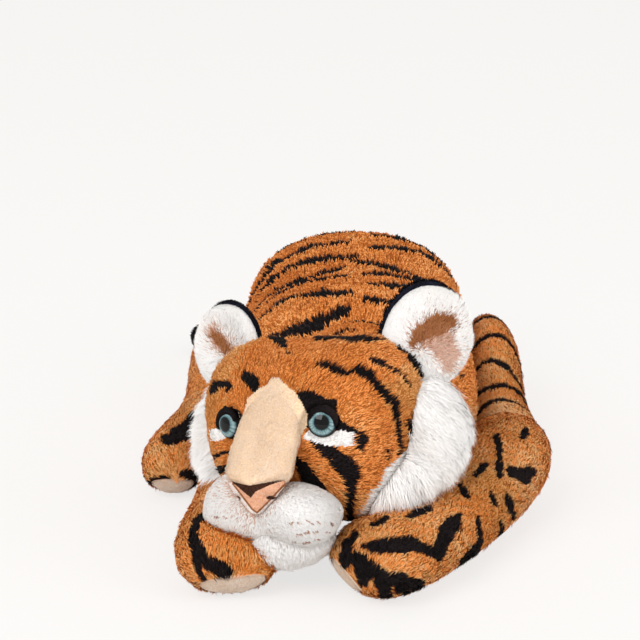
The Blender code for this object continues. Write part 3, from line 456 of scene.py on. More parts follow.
# Base cloths, each seen only where the pile parts
CLOTHS = {
    "orange": woven_plush("orange_plush_cloth", "#8A4A1E", "#B0652C", "#C8813F"),
    "black": woven_plush("black_plush_cloth", "#0A0607", "#140E0F", "#241B1C", 0.1),
    "white": woven_plush("white_plush_cloth", "#D9D2CC", "#EFEAE6", "#FBF8F5"),
    "cream": woven_plush("cream_plush_cloth", "#E3BE95", "#F0CFA9", "#FADFC0"),
    "sole": woven_plush("sole_plush_cloth", "#D9BBA2", "#E6CBB4", "#F2DBC6"),
    "brown": woven_plush("brown_plush_cloth", "#7A4526", "#945A36", "#B07A52"),
    "navy": woven_plush("navy_plush_cloth", "#080910", "#10121C", "#1D2030", 0.1),
    "dark": woven_plush("nose_band_cloth", "#2A1710", "#3B2318", "#553728", 0.15),
    "peach": woven_plush("nose_velour_cloth", "#C98C6A", "#DDA27E", "#ECB896"),
}

# Shades of fibre, from the root's to the tip's, for each colour of plush
SHADES = {
    "orange": (("#BE6629", "#CF7431"), ("#DF843C", "#EC9148", "#F7A158", "#FDB46E")),
    "tan": (("#BC7235", "#CA8040"), ("#DB944F", "#E7A662", "#F2B778", "#FAC890")),
    "black": (("#070405", "#0D0809"), ("#120C0D", "#191213", "#21191A", "#2B2122")),
    "white": (("#F0EBE7", "#F4F0EC"), ("#F8F5F2", "#FBF9F7", "#FDFCFB", "#FFFFFF")),
    "cream": (("#EACCAC", "#EED2B5"), ("#F2D8BE", "#F5DDC5", "#F7E2CD", "#FAE8D7")),
    "sole": (("#DCC0A8", "#E3CAB4"), ("#E9D2BE", "#EDD9C6", "#F2E0D0", "#F7E9DC")),
    "brown": (("#7C4626", "#8A5230"), ("#9A6038", "#A86C44", "#B87C55", "#C78F69")),
    "fawn": (("#C09078", "#CB9C84"), ("#D2A58E", "#DBB29D", "#E4C1AE", "#ECCFBF")),
    "navy": (("#06070C", "#0B0C14"), ("#0F111B", "#151825", "#1C2030", "#262B3D")),
    "dark": (("#24130D", "#301B13"), ("#3E251A", "#4A2E21", "#5A3A2B", "#6B4837")),
    "peach": (("#D5A183", "#DCAB8F"), ("#E3B499", "#E9BFA7", "#EFCAB5", "#F4D5C4")),
}
SHEENS = {"black": 0.05, "navy": 0.05, "orange": 0.5, "tan": 0.5}
FIBRES = []
FIRST_FIBRE = {}
ROOT_SHADES = 2
TIP_SHADES = 4
for plush, (roots, tips) in SHADES.items():
    FIRST_FIBRE[plush] = len(FIBRES)
    for index, written in enumerate(roots + tips):
        FIBRES.append(pile_fibre(f"{plush}_fibre_{index}", written, SHEENS.get(plush, 0.25)))

# Making forms


def unit(vectors):
    return vectors / np.maximum(np.linalg.norm(vectors, axis=-1, keepdims=True), 1e-12)


def ring(centre, side, rise, sides, square=2.0):
    """A superellipse round a centre, widened by what subdivision draws in."""
    angles = 2 * np.pi * (np.arange(sides) + 0.5) / sides
    across = np.sign(np.cos(angles)) * np.abs(np.cos(angles)) ** (2 / square)
    upward = np.sign(np.sin(angles)) * np.abs(np.sin(angles)) ** (2 / square)
    widen = 1 / math.cos(math.pi / sides)
    return np.array(centre) + (np.outer(across, side) + np.outer(upward, rise)) * widen


def swept(stations, sides, square=2.0):
    """Rings across a path. A station is a centre, a half width and a half height."""
    centres = np.array([station[0] for station in stations], float)
    last = len(stations) - 1
    rings = []
    for index, (centre, wide, high) in enumerate(stations):
        along = unit(centres[min(index + 1, last)] - centres[max(index - 1, 0)])
        side = unit(np.cross(along, (0, 0, 1)))
        rings.append(ring(centre, side * wide, np.cross(side, along) * high, sides, square))
    return rings


def lofted(rings):
    shape = bmesh.new()
    rows = [[shape.verts.new(point) for point in row] for row in rings]
    for row, following in zip(rows, rows[1:]):
        for index in range(len(row)):
            after = (index + 1) % len(row)
            shape.faces.new((row[index], row[after], following[after], following[index]))
    shape.faces.new(rows[0])
    shape.faces.new(rows[-1])
    return shape


def rounded(halves, place, fineness=5):
    shape = bmesh.new()
    bmesh.ops.create_icosphere(shape, subdivisions=fineness, radius=1.0)
    bmesh.ops.scale(shape, vec=Vector(halves), verts=shape.verts)
    bmesh.ops.translate(shape, vec=Vector(place), verts=shape.verts)
    return shape


def rows_of(items, key):
    """One vector of each of a mesh's vertices or faces, as rows."""
    found = np.empty(len(items) * 3)
    items.foreach_get(key, found)
    return found.reshape(-1, 3)


def points_of(mesh):
    return rows_of(mesh.vertices, "co")


def normals_of(mesh):
    return rows_of(mesh.vertices, "normal")


def in_frame(points, matrix):
    """Points of the tiger in a piece's own frame."""
    back = np.array(matrix.inverted())
    return points @ back[:3, :3].T + back[:3, 3]


def out_of_frame(points, matrix):
    onward = np.array(matrix)
    return points @ onward[:3, :3].T + onward[:3, 3]


def placed(point, frame=HEAD):
    return np.array(frame @ Vector(point))


def turned(direction, frame=HEAD):
    return np.array(frame.to_3x3() @ Vector(direction))


def put_points(mesh, points):
    mesh.vertices.foreach_set("co", np.ascontiguousarray(points).ravel())
    mesh.update()


def added(name, mesh):
    piece = bpy.data.objects.new(name, mesh)
    bpy.context.scene.collection.objects.link(piece)
    return piece


def piece_from(name, shape, place, levels=0):
    """A closed smooth piece from a cage, subdivided and set in its place."""
    bmesh.ops.recalc_face_normals(shape, faces=shape.faces[:])
    mesh = bpy.data.meshes.new(name)
    shape.to_mesh(mesh)
    shape.free()
    piece = added(name, mesh)
    if levels:
        modifier = piece.modifiers.new("round", "SUBSURF")
        modifier.levels = levels
        modifier.render_levels = levels
        graph = bpy.context.evaluated_depsgraph_get()
        fine = bpy.data.meshes.new_from_object(piece.evaluated_get(graph))
        piece.modifiers.clear()
        piece.data = fine
        fine.name = name
    piece.data.transform(place)
    piece.data.shade_smooth()
    return piece


def tree_of(piece):
    mesh = piece.data
    faces = [tuple(face.vertices) for face in mesh.polygons]
    return BVHTree.FromPolygons([tuple(point) for point in points_of(mesh)], faces)


PRESS_REACH = 0.06  # how far from a point its neighbour's surface is looked for
LEAST_THICKNESS = 0.004  # what is left of a form that another one presses down to the floor
SOFTENING = 0.6  # how far a point moves towards its neighbours' middle in each round


def press(piece, tree, clearance):
    """Moves what lies in another form, or closer than the clearance, out to its surface."""
    points = points_of(piece.data)
    for index, point in enumerate(points):
        near, normal, _, _ = tree.find_nearest(point, PRESS_REACH)
        if near is None:
            continue
        offset = Vector(point) - near
        inside = offset.dot(normal) < 0
        if inside or offset.length < clearance:
            points[index] = near + normal * clearance
    put_points(piece.data, points)


def press_down(piece, tree, room):
    """Lowers what lies under another form, so that the form's hair has room above it."""
    points = points_of(piece.data)
    for index, point in enumerate(points):
        below, _, _, _ = tree.ray_cast(Vector((point[0], point[1], -1)), Vector((0, 0, 1)))
        if below is not None:
            points[index, 2] = min(point[2], max(below.z - room, LEAST_THICKNESS))
    put_points(piece.data, points)


def keep_inside(piece, tree, depth):
    """Moves what lies outside a form, or less deep in it than wanted, in under its surface."""
    points = points_of(piece.data)
    for index, point in enumerate(points):
        near, normal, _, _ = tree.find_nearest(point)
        if (Vector(point) - near).dot(normal) > -depth:
            points[index] = near - normal * depth
    put_points(piece.data, points)


def soften(piece, before, rounds=14):
    """Evens out the edge of a dent that was pressed into a piece, so that the plush bends into it."""
    mesh = piece.data
    ends = np.empty(len(mesh.edges) * 2, np.int64)
    mesh.edges.foreach_get("vertices", ends)
    first, second = ends.reshape(-1, 2).T
    points = points_of(mesh)
    near = (np.linalg.norm(points - before, axis=1) > 1e-5).astype(float)
    joined = np.bincount(ends, minlength=len(points))
    for _ in range(rounds):
        total = np.zeros_like(points)
        np.add.at(total, first, points[second])
        np.add.at(total, second, points[first])
        spread = np.bincount(first, near[second], len(points)) + np.bincount(second, near[first], len(points))
        near = np.maximum(near, spread / joined)
        points += SOFTENING * near[:, None] * (total / joined[:, None] - points)
    put_points(mesh, points)


def mottle(points, size, seed):
    """A smooth random value, mostly from -1 to 1, that changes over about that size."""
    source = np.random.default_rng(seed)
    waves = source.normal(size=(7, 3)) * 2 / size
    phases = source.uniform(0, 2 * np.pi, 7)
    return np.sin(points @ waves.T + phases).sum(axis=1) / 3.2


def shell_of(piece):
    """What a piece's inside is tested with: its faces as a tree, and its box."""
    points = points_of(piece.data)
    return tree_of(piece), points.min(axis=0), points.max(axis=0)


def clear_of(points, shells, margin=0.0):
    """Which points lie outside some closed forms, by more than a margin."""
    free = np.ones(len(points), bool)
    for tree, low, high in shells:
        near_box = free & (points > low - margin).all(axis=1) & (points < high + margin).all(axis=1)
        for index in np.nonzero(near_box)[0]:
            near, normal, _, _ = tree.find_nearest(points[index])
            offset = Vector(points[index]) - near
            if offset.dot(normal) < 0 or offset.length < margin:
                free[index] = False
    return free


# Where colours lie


def within(places, outline):
    """Which places lie in an outline of corners."""
    corners = np.array(outline)
    following = np.roll(corners, -1, axis=0)
    inside = np.zeros(len(places), bool)
    for (x0, y0), (x1, y1) in zip(corners, following):
        crosses = (y0 > places[:, 1]) != (y1 > places[:, 1])
        meets = (x1 - x0) * (places[:, 1] - y0) / (y1 - y0 + 1e-12) + x0
        inside ^= crosses & (places[:, 0] < meets)
    return inside


def from_strokes(places, strokes):
    """How far places lie outside the nearest stroke, a bent line of across, down and half width."""
    least = np.full(len(places), np.inf)
    for stroke in strokes:
        for start, end in zip(stroke, stroke[1:]):
            first = np.array(start[:2])
            run = np.array(end[:2]) - first
            share = np.clip((places - first) @ run / max(run @ run, 1e-9), 0, 1)
            gap = np.linalg.norm(places - first - share[:, None] * run, axis=1)
            least = np.minimum(least, gap - start[2] - share * (end[2] - start[2]))
    return least


def on_strokes(places, strokes, wider=0.0):
    return from_strokes(places, strokes) < wider


def ragged(points, amount):
    """Small shifts that make a stripe's edge ragged, in pixels or metres."""
    return amount * np.stack((mottle(points, 0.006, 3), mottle(points, 0.006, 4)), axis=1)


STRIPE_STEPS = 6
STRIPE_WAVE = 0.005  # how far a made-up stripe sways
FORK_EVERY = 3  # each third stripe is forked
FORK_SPREAD = 0.015
FORK_REACH = 0.030


def wild_stripes(count, start, end, reach, thick, seed):
    """Tapered, wavy stripes across a limb or the back: along, around and half width, in metres."""
    source = np.random.default_rng(seed)
    strokes = []
    for side in (-1, 1):
        for index in range(count):
            along = start + (end - start) * (index + 0.5 + 0.25 * side) / count
            along += source.uniform(-0.15, 0.15) * (end - start) / count
            near = source.uniform(-0.10, 0.16) * reach
            far = source.uniform(0.62, 1.0) * reach
            lean = source.uniform(-0.18, 0.18)
            stroke = []
            for step in range(STRIPE_STEPS + 1):
                share = step / STRIPE_STEPS
                around = near + (far - near) * share
                wave = STRIPE_WAVE * math.sin(5.5 * share + index * 2.1) + lean * around
                width = thick * math.sin(math.pi * (0.12 + 0.84 * share)) ** 0.7 * source.uniform(0.7, 1.15)
                stroke.append((along + wave, side * around, width))
            strokes.append(tuple(stroke))
            if index % FORK_EVERY == 0:
                fork = stroke[STRIPE_STEPS // 2]
                strokes.append((
                    fork, (fork[0] + 0.010, fork[1] + side * 0.014, thick * 0.6),
                    (fork[0] + FORK_SPREAD, fork[1] + side * FORK_REACH, thick * 0.15),
                ))
    return tuple(strokes)


RUMP_START = 0.150
TUFT = 0.0015  # about the size of one tuft, for colours that mix tuft by tuft
BODY_STRIPES = wild_stripes(11, BODY_FRONT + 0.02, BODY_FRONT + BODY_LENGTH + 0.090, 0.150, 0.0078, 11)
LEG_STRIPES = wild_stripes(7, -0.03, 0.20, 0.070, 0.0045, 12)
CROWN_STRIPES = wild_stripes(4, 0.0, 0.085, 0.110, 0.0045, 13)
NECK_STRIPES = wild_stripes(3, -0.05, 0.05, 0.090, 0.0055, 14)

# Names of the plushes, as numbers that the colour functions give back
PLUSHES = tuple(SHADES)
NUMBER = {plush: index for index, plush in enumerate(PLUSHES)}


def painted(count, base):
    return np.full(count, NUMBER[base])


def toward_frame(points, normals, least=0.05):
    return facing(points, normals) > least


OVERCOMBED = 0.9  # pixels that the pile combed over a stripe takes off its width


def in_head(points):
    return in_frame(points, HEAD)


def head_marks(colours, points, shown):
    """Paints the face's stripes and whites on the points that the photograph shows."""
    places = to_frame(points) + ragged(points, 0.9)
    colours[shown & within(places, CHEEK_WHITE)] = NUMBER["white"]
    colours[shown & on_strokes(places, HEAD_STRIPES, OVERCOMBED)] = NUMBER["black"]
    colours[shown & within(places, NEAR_EYE_WHITE)] = NUMBER["white"]
    colours[shown & within(places, FAR_EYE_WHITE)] = NUMBER["white"]
    colours[shown & within(places, NEAR_EYE_PATCH)] = NUMBER["black"]
    colours[shown & within(to_frame(points), BRIDGE_OUTLINE)] = NUMBER["cream"]


# The tan at the head's sides and lower cheeks is partly a paler tone of the plush and partly a painted
# highlight, where the fur is seen at a grazing angle.
TAN_AND_SHEEN_FAR_SIDE = -0.035  # across the head, where its far side starts to turn tan
TAN_AND_SHEEN_NEAR_SIDE = 0.072
TAN_AND_SHEEN_LOW = -0.020  # and how low its cheeks do
TAN_AND_SHEEN_FADE = 0.03
TAN_AND_SHEEN_NEAR_FADE = 0.02
THROAT = -0.035  # how low the unseen side turns white


def head_colours(points, normals):
    """The photograph's marks on the side that it shows, and the same ones mirrored on the other side."""
    colours = painted(len(points), "orange")
    local = in_head(points)
    # Painted highlight, together with the plush's paler tone: tan towards the head's sides and under its
    # cheeks.
    paler_and_lit = np.clip((TAN_AND_SHEEN_FAR_SIDE - local[:, 0]) / TAN_AND_SHEEN_FADE, 0, 1)
    paler_and_lit += np.clip((local[:, 0] - TAN_AND_SHEEN_NEAR_SIDE) / TAN_AND_SHEEN_NEAR_FADE, 0, 1)
    paler_and_lit += np.clip((TAN_AND_SHEEN_LOW - local[:, 2]) / TAN_AND_SHEEN_FADE, 0, 1)
    chance = 0.5 + 0.25 * mottle(points, 0.02, 31) + 0.3 * mottle(points, TUFT, 32)
    colours[chance < paler_and_lit] = NUMBER["tan"]
    shown = toward_frame(points, normals)
    other = local * (-1, 1, 1)
    turn = np.array(HEAD)[:3, :3]
    mirror_points = out_of_frame(other, HEAD)
    mirror_normals = ((normals @ turn) * (-1, 1, 1)) @ turn.T
    mirrored = ~shown & (local[:, 0] < 0) & toward_frame(mirror_points, mirror_normals)
    head_marks(colours, mirror_points, mirrored)
    unseen = ~shown & ~mirrored
    around = np.arctan2(local[:, 0], local[:, 2] - 0.01) * HEAD_HALF_WIDTH
    spread = np.stack((local[:, 1], around), axis=1) + ragged(points, 0.0008)
    colours[unseen & on_strokes(spread, CROWN_STRIPES)] = NUMBER["black"]
    colours[unseen & (local[:, 2] < THROAT)] = NUMBER["white"]
    head_marks(colours, points, shown)
    return colours


FLANK_TOP = 0.10  # where the flanks start to turn tan
FLANK_FADE = 0.06
GIRTH_RADIUS = 0.095  # turns an angle round the body into a distance
BELLY_TOP = 0.016  # how high the white belly reaches


def body_colours(points, normals):
    """Orange with tan flanks, stripes that run down the back and the rump, and a white belly."""
    colours = painted(len(points), "orange")
    flank = np.clip((FLANK_TOP - points[:, 2]) / FLANK_FADE, 0, 1)
    chance = 0.55 + 0.2 * mottle(points, 0.03, 35) + 0.35 * mottle(points, TUFT, 36)
    colours[chance < flank] = NUMBER["tan"]
    around = np.arctan2(points[:, 0], points[:, 2] - BODY_HEIGHT / 2) * GIRTH_RADIUS
    rump = np.clip((points[:, 1] - RUMP_START) / (BODY_FRONT + BODY_LENGTH - RUMP_START), 0, 1)
    along = points[:, 1] + rump * np.maximum(BODY_HEIGHT - points[:, 2], 0)
    spread = np.stack((along, around), axis=1) + ragged(points, 0.0012)
    colours[on_strokes(spread, BODY_STRIPES)] = NUMBER["black"]
    low = points[:, 2] < BELLY_TOP + 0.004 * mottle(points, 0.05, 5)
    colours[low & (normals[:, 2] < -0.2)] = NUMBER["white"]
    return colours


def limb_colours(strokes, limb):
    """A limb's colours: the photograph's stripes where it shows them, and tiger stripes elsewhere."""
    def colours_at(points, normals):
        colours = painted(len(points), "orange")
        colours[0.5 * mottle(points, 0.03, 33) + mottle(points, TUFT, 34) > 0.0] = NUMBER["tan"]
        shown = toward_frame(points, normals, -0.05)
        local = in_frame(points, limb.frame)
        around = np.arctan2(local[:, 0] * limb.side, local[:, 2] + 0.02) * limb.half_width
        spread = np.stack((-local[:, 1], around), axis=1) + ragged(points, 0.001)
        wild = on_strokes(spread, LEG_STRIPES)
        colours[wild & ~(shown & limb.seen)] = NUMBER["black"]
        places = to_frame(points) + ragged(points, 0.9)
        if strokes:
            colours[shown & on_strokes(places, strokes, OVERCOMBED)] = NUMBER["black"]
        return colours
    return colours_at


# Growing pile


def scattered(piece, count, seed):
    """Roots spread evenly over a piece, with its normals there."""
    mesh = piece.data
    mesh.calc_loop_triangles()
    corners = np.empty(len(mesh.loop_triangles) * 3, np.int64)
    mesh.loop_triangles.foreach_get("vertices", corners)
    corners = corners.reshape(-1, 3)
    points = points_of(mesh)[corners]
    normals = normals_of(mesh)[corners]
    areas = np.linalg.norm(np.cross(points[:, 1] - points[:, 0], points[:, 2] - points[:, 0]), axis=1)
    source = np.random.default_rng(seed)
    chosen = np.searchsorted(np.cumsum(areas) / areas.sum(), source.random(count))
    first, second = source.random((2, count))
    over = first + second > 1
    first[over], second[over] = 1 - first[over], 1 - second[over]
    shares = np.stack((1 - first - second, first, second), axis=1)[:, :, None]
    return (points[chosen] * shares).sum(axis=1), unit((normals[chosen] * shares).sum(axis=1)), source


PILE_WANDER = 0.28  # how far ribbons stray from the way that they are brushed
PILE_BEND = 18  # degrees
PILE_SWIRL = 0.018  # the size of a swirl in the pile
ROOT_DEPTH = 0.0008
PILE_FLOOR = 0.0003  # pile that rests on the floor stays above it


def pile(name, roots, normals, source, flow, plushes, length, width, lift):
    """Ribbons of pile: five points each, bent over in the direction that the plush is brushed."""
    count = len(roots)
    sideways = unit(np.cross(normals, flow))
    swirl = PILE_WANDER * (0.8 * mottle(roots, PILE_SWIRL, 21) + source.normal(size=count) * 0.6)[:, None]
    brushed = unit(np.cross(sideways, normals) + sideways * swirl)
    sideways = unit(np.cross(normals, brushed) + normals * source.normal(size=(count, 1)) * 0.5)
    tall = (length * source.uniform(0.7, 1.25, count) * (1 + 0.18 * mottle(roots, 0.012, 22)))[:, None]
    half = (width / 2 * source.uniform(0.7, 1.3, count))[:, None]
    rise = np.radians(lift + source.normal(size=count) * 7)[:, None]
    bend = np.radians(PILE_BEND)
    start = normals * np.sin(rise + bend) + brushed * np.cos(rise + bend)
    end = normals * np.sin(rise - bend) + brushed * np.cos(rise - bend)
    foot = roots - normals * ROOT_DEPTH
    knee = roots + start * tall * 0.5
    tip = knee + end * tall * 0.55 + sideways * source.normal(size=(count, 1)) * tall * 0.07
    corners = np.stack((
        foot - sideways * half, foot + sideways * half,
        knee + sideways * half * 0.85, knee - sideways * half * 0.85, tip,
    ), axis=1)
    corners[:, :, 2] = np.maximum(corners[:, :, 2], PILE_FLOOR)
    mesh = bpy.data.meshes.new(name)
    mesh.vertices.add(count * 5)
    mesh.vertices.foreach_set("co", corners.ravel())
    mesh.loops.add(count * 7)
    order = np.array((1, 0, 3, 2, 2, 3, 4))
    loops = (np.arange(count)[:, None] * 5 + order).ravel()
    mesh.loops.foreach_set("vertex_index", loops.astype(np.int32))
    mesh.polygons.add(count * 2)
    starts = (np.arange(count)[:, None] * 7 + (0, 4)).ravel()
    mesh.polygons.foreach_set("loop_start", starts.astype(np.int32))
    light = 0.5 + 0.26 * mottle(roots, 0.035, 23) + 0.12 * mottle(roots, 0.008, 24)
    light = np.clip(light + source.normal(size=count) * 0.12, 0, 0.999)
    base = np.array([FIRST_FIBRE[plush] for plush in PLUSHES])[plushes]
    root_shade = base + (light * ROOT_SHADES).astype(int)
    tip_shade = base + ROOT_SHADES + (light * TIP_SHADES).astype(int)
    used, slots = np.unique(np.stack((root_shade, tip_shade), axis=1), return_inverse=True)
    for index in used:
        mesh.materials.append(FIBRES[index])
    mesh.polygons.foreach_set("material_index", slots.ravel().astype(np.int32))
    soft = unit(normals + 0.09 * source.normal(size=(count, 3)) + brushed * 0.15)
    soft = np.repeat(soft[:, None, :], 5, axis=1)
    kept = mesh.attributes.new("custom_normal", "FLOAT_VECTOR", "POINT")
    kept.data.foreach_set("vector", soft.astype(np.float32).ravel())
    mesh.update(calc_edges=True)
    return added(name, mesh)


def paint_cloth(piece, colours_at):
    """Gives each face of a cover the cloth of its plush."""
    mesh = piece.data
    numbers = colours_at(rows_of(mesh.polygons, "center"), rows_of(mesh.polygons, "normal"))
    used, slots = np.unique(numbers, return_inverse=True)
    mesh.materials.clear()
    for number in used:
        plush = PLUSHES[number]
        mesh.materials.append(CLOTHS[{"tan": "orange", "fawn": "white"}.get(plush, plush)])
    mesh.polygons.foreach_set("material_index", slots.ravel().astype(np.int32))
    mesh.update()


# Covers


def body_stations():
    stations = []
    for along, wide, low, high in BODY_SHARES:
        bottom = low * BODY_HEIGHT - FLOOR_CUT
        top = high * BODY_HEIGHT
        centre = (0, BODY_FRONT + along * BODY_LENGTH, (bottom + top) / 2)
        stations.append((centre, wide * BODY_HALF_WIDTH, (top - bottom) / 2))
    return stations


def head_stations():
    stations = []
    for along, wide, centre, high in HEAD_SHARES:
        place = (0, along * HEAD_HALF_DEPTH, centre * HEAD_HALF_HEIGHT)
        stations.append((place, wide * HEAD_HALF_WIDTH, high * HEAD_HALF_HEIGHT))
    return stations


def ruff_rings(side):
    rings = []
    last = len(RUFF_FLARE_SHARES) - 1
    for index, flare in enumerate(RUFF_FLARE_SHARES):
        angle = math.radians(RUFF_START + (RUFF_END - RUFF_START) * index / last)
        out = np.array((side * math.cos(angle), 0, math.sin(angle)))
        height = math.sin(angle) * (RUFF_RISE if angle > 0 else RUFF_DROP)
        forward = RUFF_FORWARD * max(0, -math.sin(angle)) ** 2
        centre = (side * math.cos(angle) * RUFF_RADIUS, RUFF_BACK - forward, height)
        rings.append(ring(centre, out * flare * RUFF_REACH, (0, flare * RUFF_DEPTH, 0), LIMB_SIDES))
    return rings


def muzzle_rings():
    shares = [(-x, size) for x, size in MUZZLE_SHARES]
    shares += [(x, size) for x, size in reversed(MUZZLE_SHARES[:-1])]
    wide, deep, high = MUZZLE_HALVES
    rings = []
    for x, size in shares:
        centre = np.array(MUZZLE_PLACE) + (x * wide, 0, 0)
        rings.append(ring(centre, (0, size * deep, 0), (0, 0, size * high), LIMB_SIDES))
    return rings


def bridge_rings(head_tree):
    """The bridge's rings, whose upper ones are lifted until they stand just out of the forehead."""
    top = np.array(BRIDGE_TOP)
    foot = np.array(BRIDGE_FOOT)
    outward = unit(np.cross(unit(foot - top), (1, 0, 0)))
    rings = []
    for along, wide, high in BRIDGE_SHARES:
        held = min(max(along, 0), 1)
        centre = top + (foot - top) * along
        centre[1] -= BRIDGE_BULGE * math.sin(math.pi * held)
        above = HEAD @ Vector(centre + outward * HEAD_HALF_DEPTH)
        forehead = head_tree.ray_cast(above, HEAD.to_3x3() @ Vector(-outward))[0]
        half_height = BRIDGE_HALF_HEIGHT * high
        if along < BRIDGE_FREE:
            needed = HEAD_HALF_DEPTH - (forehead - above).length + BRIDGE_LIFT
            centre += outward * max(needed - half_height, 0)
        rings.append(ring(centre, (wide * BRIDGE_HALF_WIDTH, 0, 0), outward * half_height, LIMB_SIDES, 2.4))
    return rings


def nose_rings():
    top = np.array(NOSE_TOP)
    point = np.array(NOSE_POINT)
    rings = []
    for along, wide in NOSE_SHARES:
        centre = top + (point - top) * along
        rings.append(ring(centre, (wide * NOSE_HALF_WIDTH, 0, 0), (0, NOSE_HALF_DEPTH, 0), LIMB_SIDES))
    return rings


class Limb:
    """A limb's stations and its joint's frame. Side is 1 on the tiger's left.

    The sole is the turn and the tilt down of the way that it faces, in degrees, and its depth.
    """

    def __init__(self, name, shares, size, place, side, sole, turn=0.0, seen=False):
        self.name = name
        self.sole = sole
        self.shares = shares
        self.length, self.half_width, self.half_height = size
        self.side = side
        self.seen = seen
        self.place = Vector(place)
        self.frame = Matrix.Translation(place) @ Matrix.Rotation(math.radians(turn), 4, "Z")

    def stations(self):
        found = []
        for along, outward, height, wide, high in self.shares:
            up = height * self.half_height - FLOOR_CUT - self.place.z
            centre = (self.side * outward * self.half_width, -along * self.length, up)
            found.append((centre, wide * self.half_width, high * self.half_height))
        return found

    def sole_plane(self):
        """A point of the sole's edge plane and its direction, in the joint's frame."""
        turn, tilt, depth = math.radians(self.sole[0]), math.radians(self.sole[1]), self.sole[2]
        level = math.cos(tilt)
        normal = np.array((level * math.sin(turn), -level * math.cos(turn), -math.sin(tilt)))
        stations = self.stations()
        reach = max(
            np.dot(centre, normal) + math.hypot(wide * normal[0], high * normal[2])
            for centre, wide, high in stations
        )
        tip = np.array(stations[-1][0])
        return tip + normal * (reach - tip @ normal - depth), normal


LEFT_SOLE = (-38.0, 34.0, 0.021)
RIGHT_SOLE = (8.0, 45.0, 0.0185)
HIND_SOLE = (0.0, 52.0, 0.0165)
FORELEG_LEFT = Limb(
    "foreleg_left", FORELEG_LEFT_SHARES, FORELEG_SIZE, SHOULDER_LEFT, 1, LEFT_SOLE, LEFT_TURN, True,
)
FORELEG_RIGHT = Limb(
    "foreleg_right", FORELEG_RIGHT_SHARES, FORELEG_SIZE, SHOULDER_RIGHT, -1, RIGHT_SOLE, 0.0, True,
)
HIND_LEFT = Limb("hind_leg_left", HIND_LEFT_SHARES, HIND_SIZE, HIP_LEFT, 1, HIND_SOLE)
HIND_RIGHT = Limb("hind_leg_right", HIND_RIGHT_SHARES, HIND_SIZE, HIP_RIGHT, -1, HIND_SOLE, 0.0, True)
LIMBS = (FORELEG_LEFT, FORELEG_RIGHT, HIND_LEFT, HIND_RIGHT)


def tail_stations():
    stations = []
    for side, back, height, size in TAIL_SHARES:
        up = height * TAIL_RADIUS - FLOOR_CUT - TAIL_ROOT[2]
        stations.append(((side * TAIL_REACH, back * TAIL_REACH, up), size * TAIL_RADIUS, size * TAIL_RADIUS))
    return stations


def settle(piece):
    """Flattens a cover where it rests on the floor."""
    points = points_of(piece.data)
    points[:, 2] = np.maximum(points[:, 2], 0.0002)
    put_points(piece.data, points)


def stand_for(piece, body, slot, *nodes, fill=None):
    """Sets what a piece rides on and hides the nodes that it stands for. Its finish and how full it is are
    not used.
    """
    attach(piece, body)
    if nodes:
        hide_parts(*nodes)


def drawn_in(piece, depth):
    """Draws a cover in, so that its pile ends about where the plush does."""
    put_points(piece.data, points_of(piece.data) - normals_of(piece.data) * depth)
    return piece


PILE_ROOM = 0.0026
WORLD = Matrix.Identity(4)
body = piece_from("body_cover", lofted(swept(body_stations(), FORM_SIDES, 2.6)), WORLD, 4)
drawn_in(body, PILE_ROOM)
settle(body)
neck = piece_from("neck_cover", rounded((NECK_RADIUS,) * 3, NECK), WORLD)
head = piece_from("head_cover", lofted(swept(head_stations(), FORM_SIDES, 2.2)), HEAD, 4)
muzzle = piece_from("muzzle_cover", lofted(muzzle_rings()), HEAD, 4)
chin = piece_from("chin_cover", rounded(CHIN_HALVES, CHIN_PLACE), HEAD)
nose = piece_from("nose_cover", lofted(nose_rings()), HEAD, 5)


PROW_TOP = 0.010  # below this height the bridge starts to come forward
PROW_DEPTH = 0.028


def point_bridge():
    """The bridge's lower end stands forward in the middle, and comes to a blunt point above the nose."""
    local = in_head(points_of(bridge.data))
    low = np.clip((PROW_TOP - local[:, 2]) / PROW_DEPTH, 0, 1) ** 1.5
    outer = np.clip(np.abs(local[:, 0]) / BRIDGE_HALF_WIDTH, 0, 1)
    local[:, 1] -= PROW_REACH * low * (1 - outer ** 2)
    local[:, 2] += low * (BRIDGE_CORNER_LIFT * outer - BRIDGE_POINT * (1 - outer))
    put_points(bridge.data, out_of_frame(local, HEAD))


CAP_START = 0.08  # shares of the bridge's length: where it starts to come out of the forehead
CAP_END = 0.30  # and where nothing holds it down any more
SKIRT_END = 0.72  # above here its sides go down to the face


def sink_bridge():
    """Lets the bridge grow out of the forehead at its upper end, and takes its sides down to the face."""
    top = np.array(BRIDGE_TOP)
    run = np.array(BRIDGE_FOOT) - top
    length = np.linalg.norm(run)
    outward = turned(unit(np.cross(run / length, (1, 0, 0))))
    points = points_of(bridge.data)
    along = (in_frame(points, HEAD) - top) @ run / length ** 2
    allowed = BRIDGE_LIFT + BRIDGE_STAND * np.clip((along - CAP_START) / 0.6, 0, 1) ** 1.5
    allowed += HEAD_HALF_DEPTH * np.clip((along - CAP_END) / 0.12, 0, 1)
    under = np.clip(-2 * (normals_of(bridge.data) @ outward), 0, 1) * np.clip((SKIRT_END - along) / 0.3, 0, 1)
    for index, point in enumerate(points):
        face = head_tree.ray_cast(Vector(point + outward * HEAD_HALF_DEPTH), Vector(-outward))[0]
        if face is None:
            continue
        height = (point - np.array(face)) @ outward
        wanted = min(height, allowed[index])
        wanted += under[index] * min(-BRIDGE_ROOT - wanted, 0)
        points[index] = point + outward * (wanted - height)
    put_points(bridge.data, points)


def shape_nose():
    """The nose's upper edge follows the bridge, and its lower point stays back."""
    local = in_head(points_of(nose.data))
    rise = np.clip((local[:, 2] - NOSE_POINT[2]) / (NOSE_TOP[2] - NOSE_POINT[2]), 0, 1)
    outer = np.clip(np.abs(local[:, 0]) / NOSE_HALF_WIDTH, 0, 1)
    local[:, 1] -= PROW_REACH * rise * (1 - outer ** 2)
    local[:, 2] += rise * (NOSE_CORNER_LIFT * outer ** 2)
    local[:, 0] *= 1 + NOSE_WIDEN * rise
    put_points(nose.data, out_of_frame(local, HEAD))


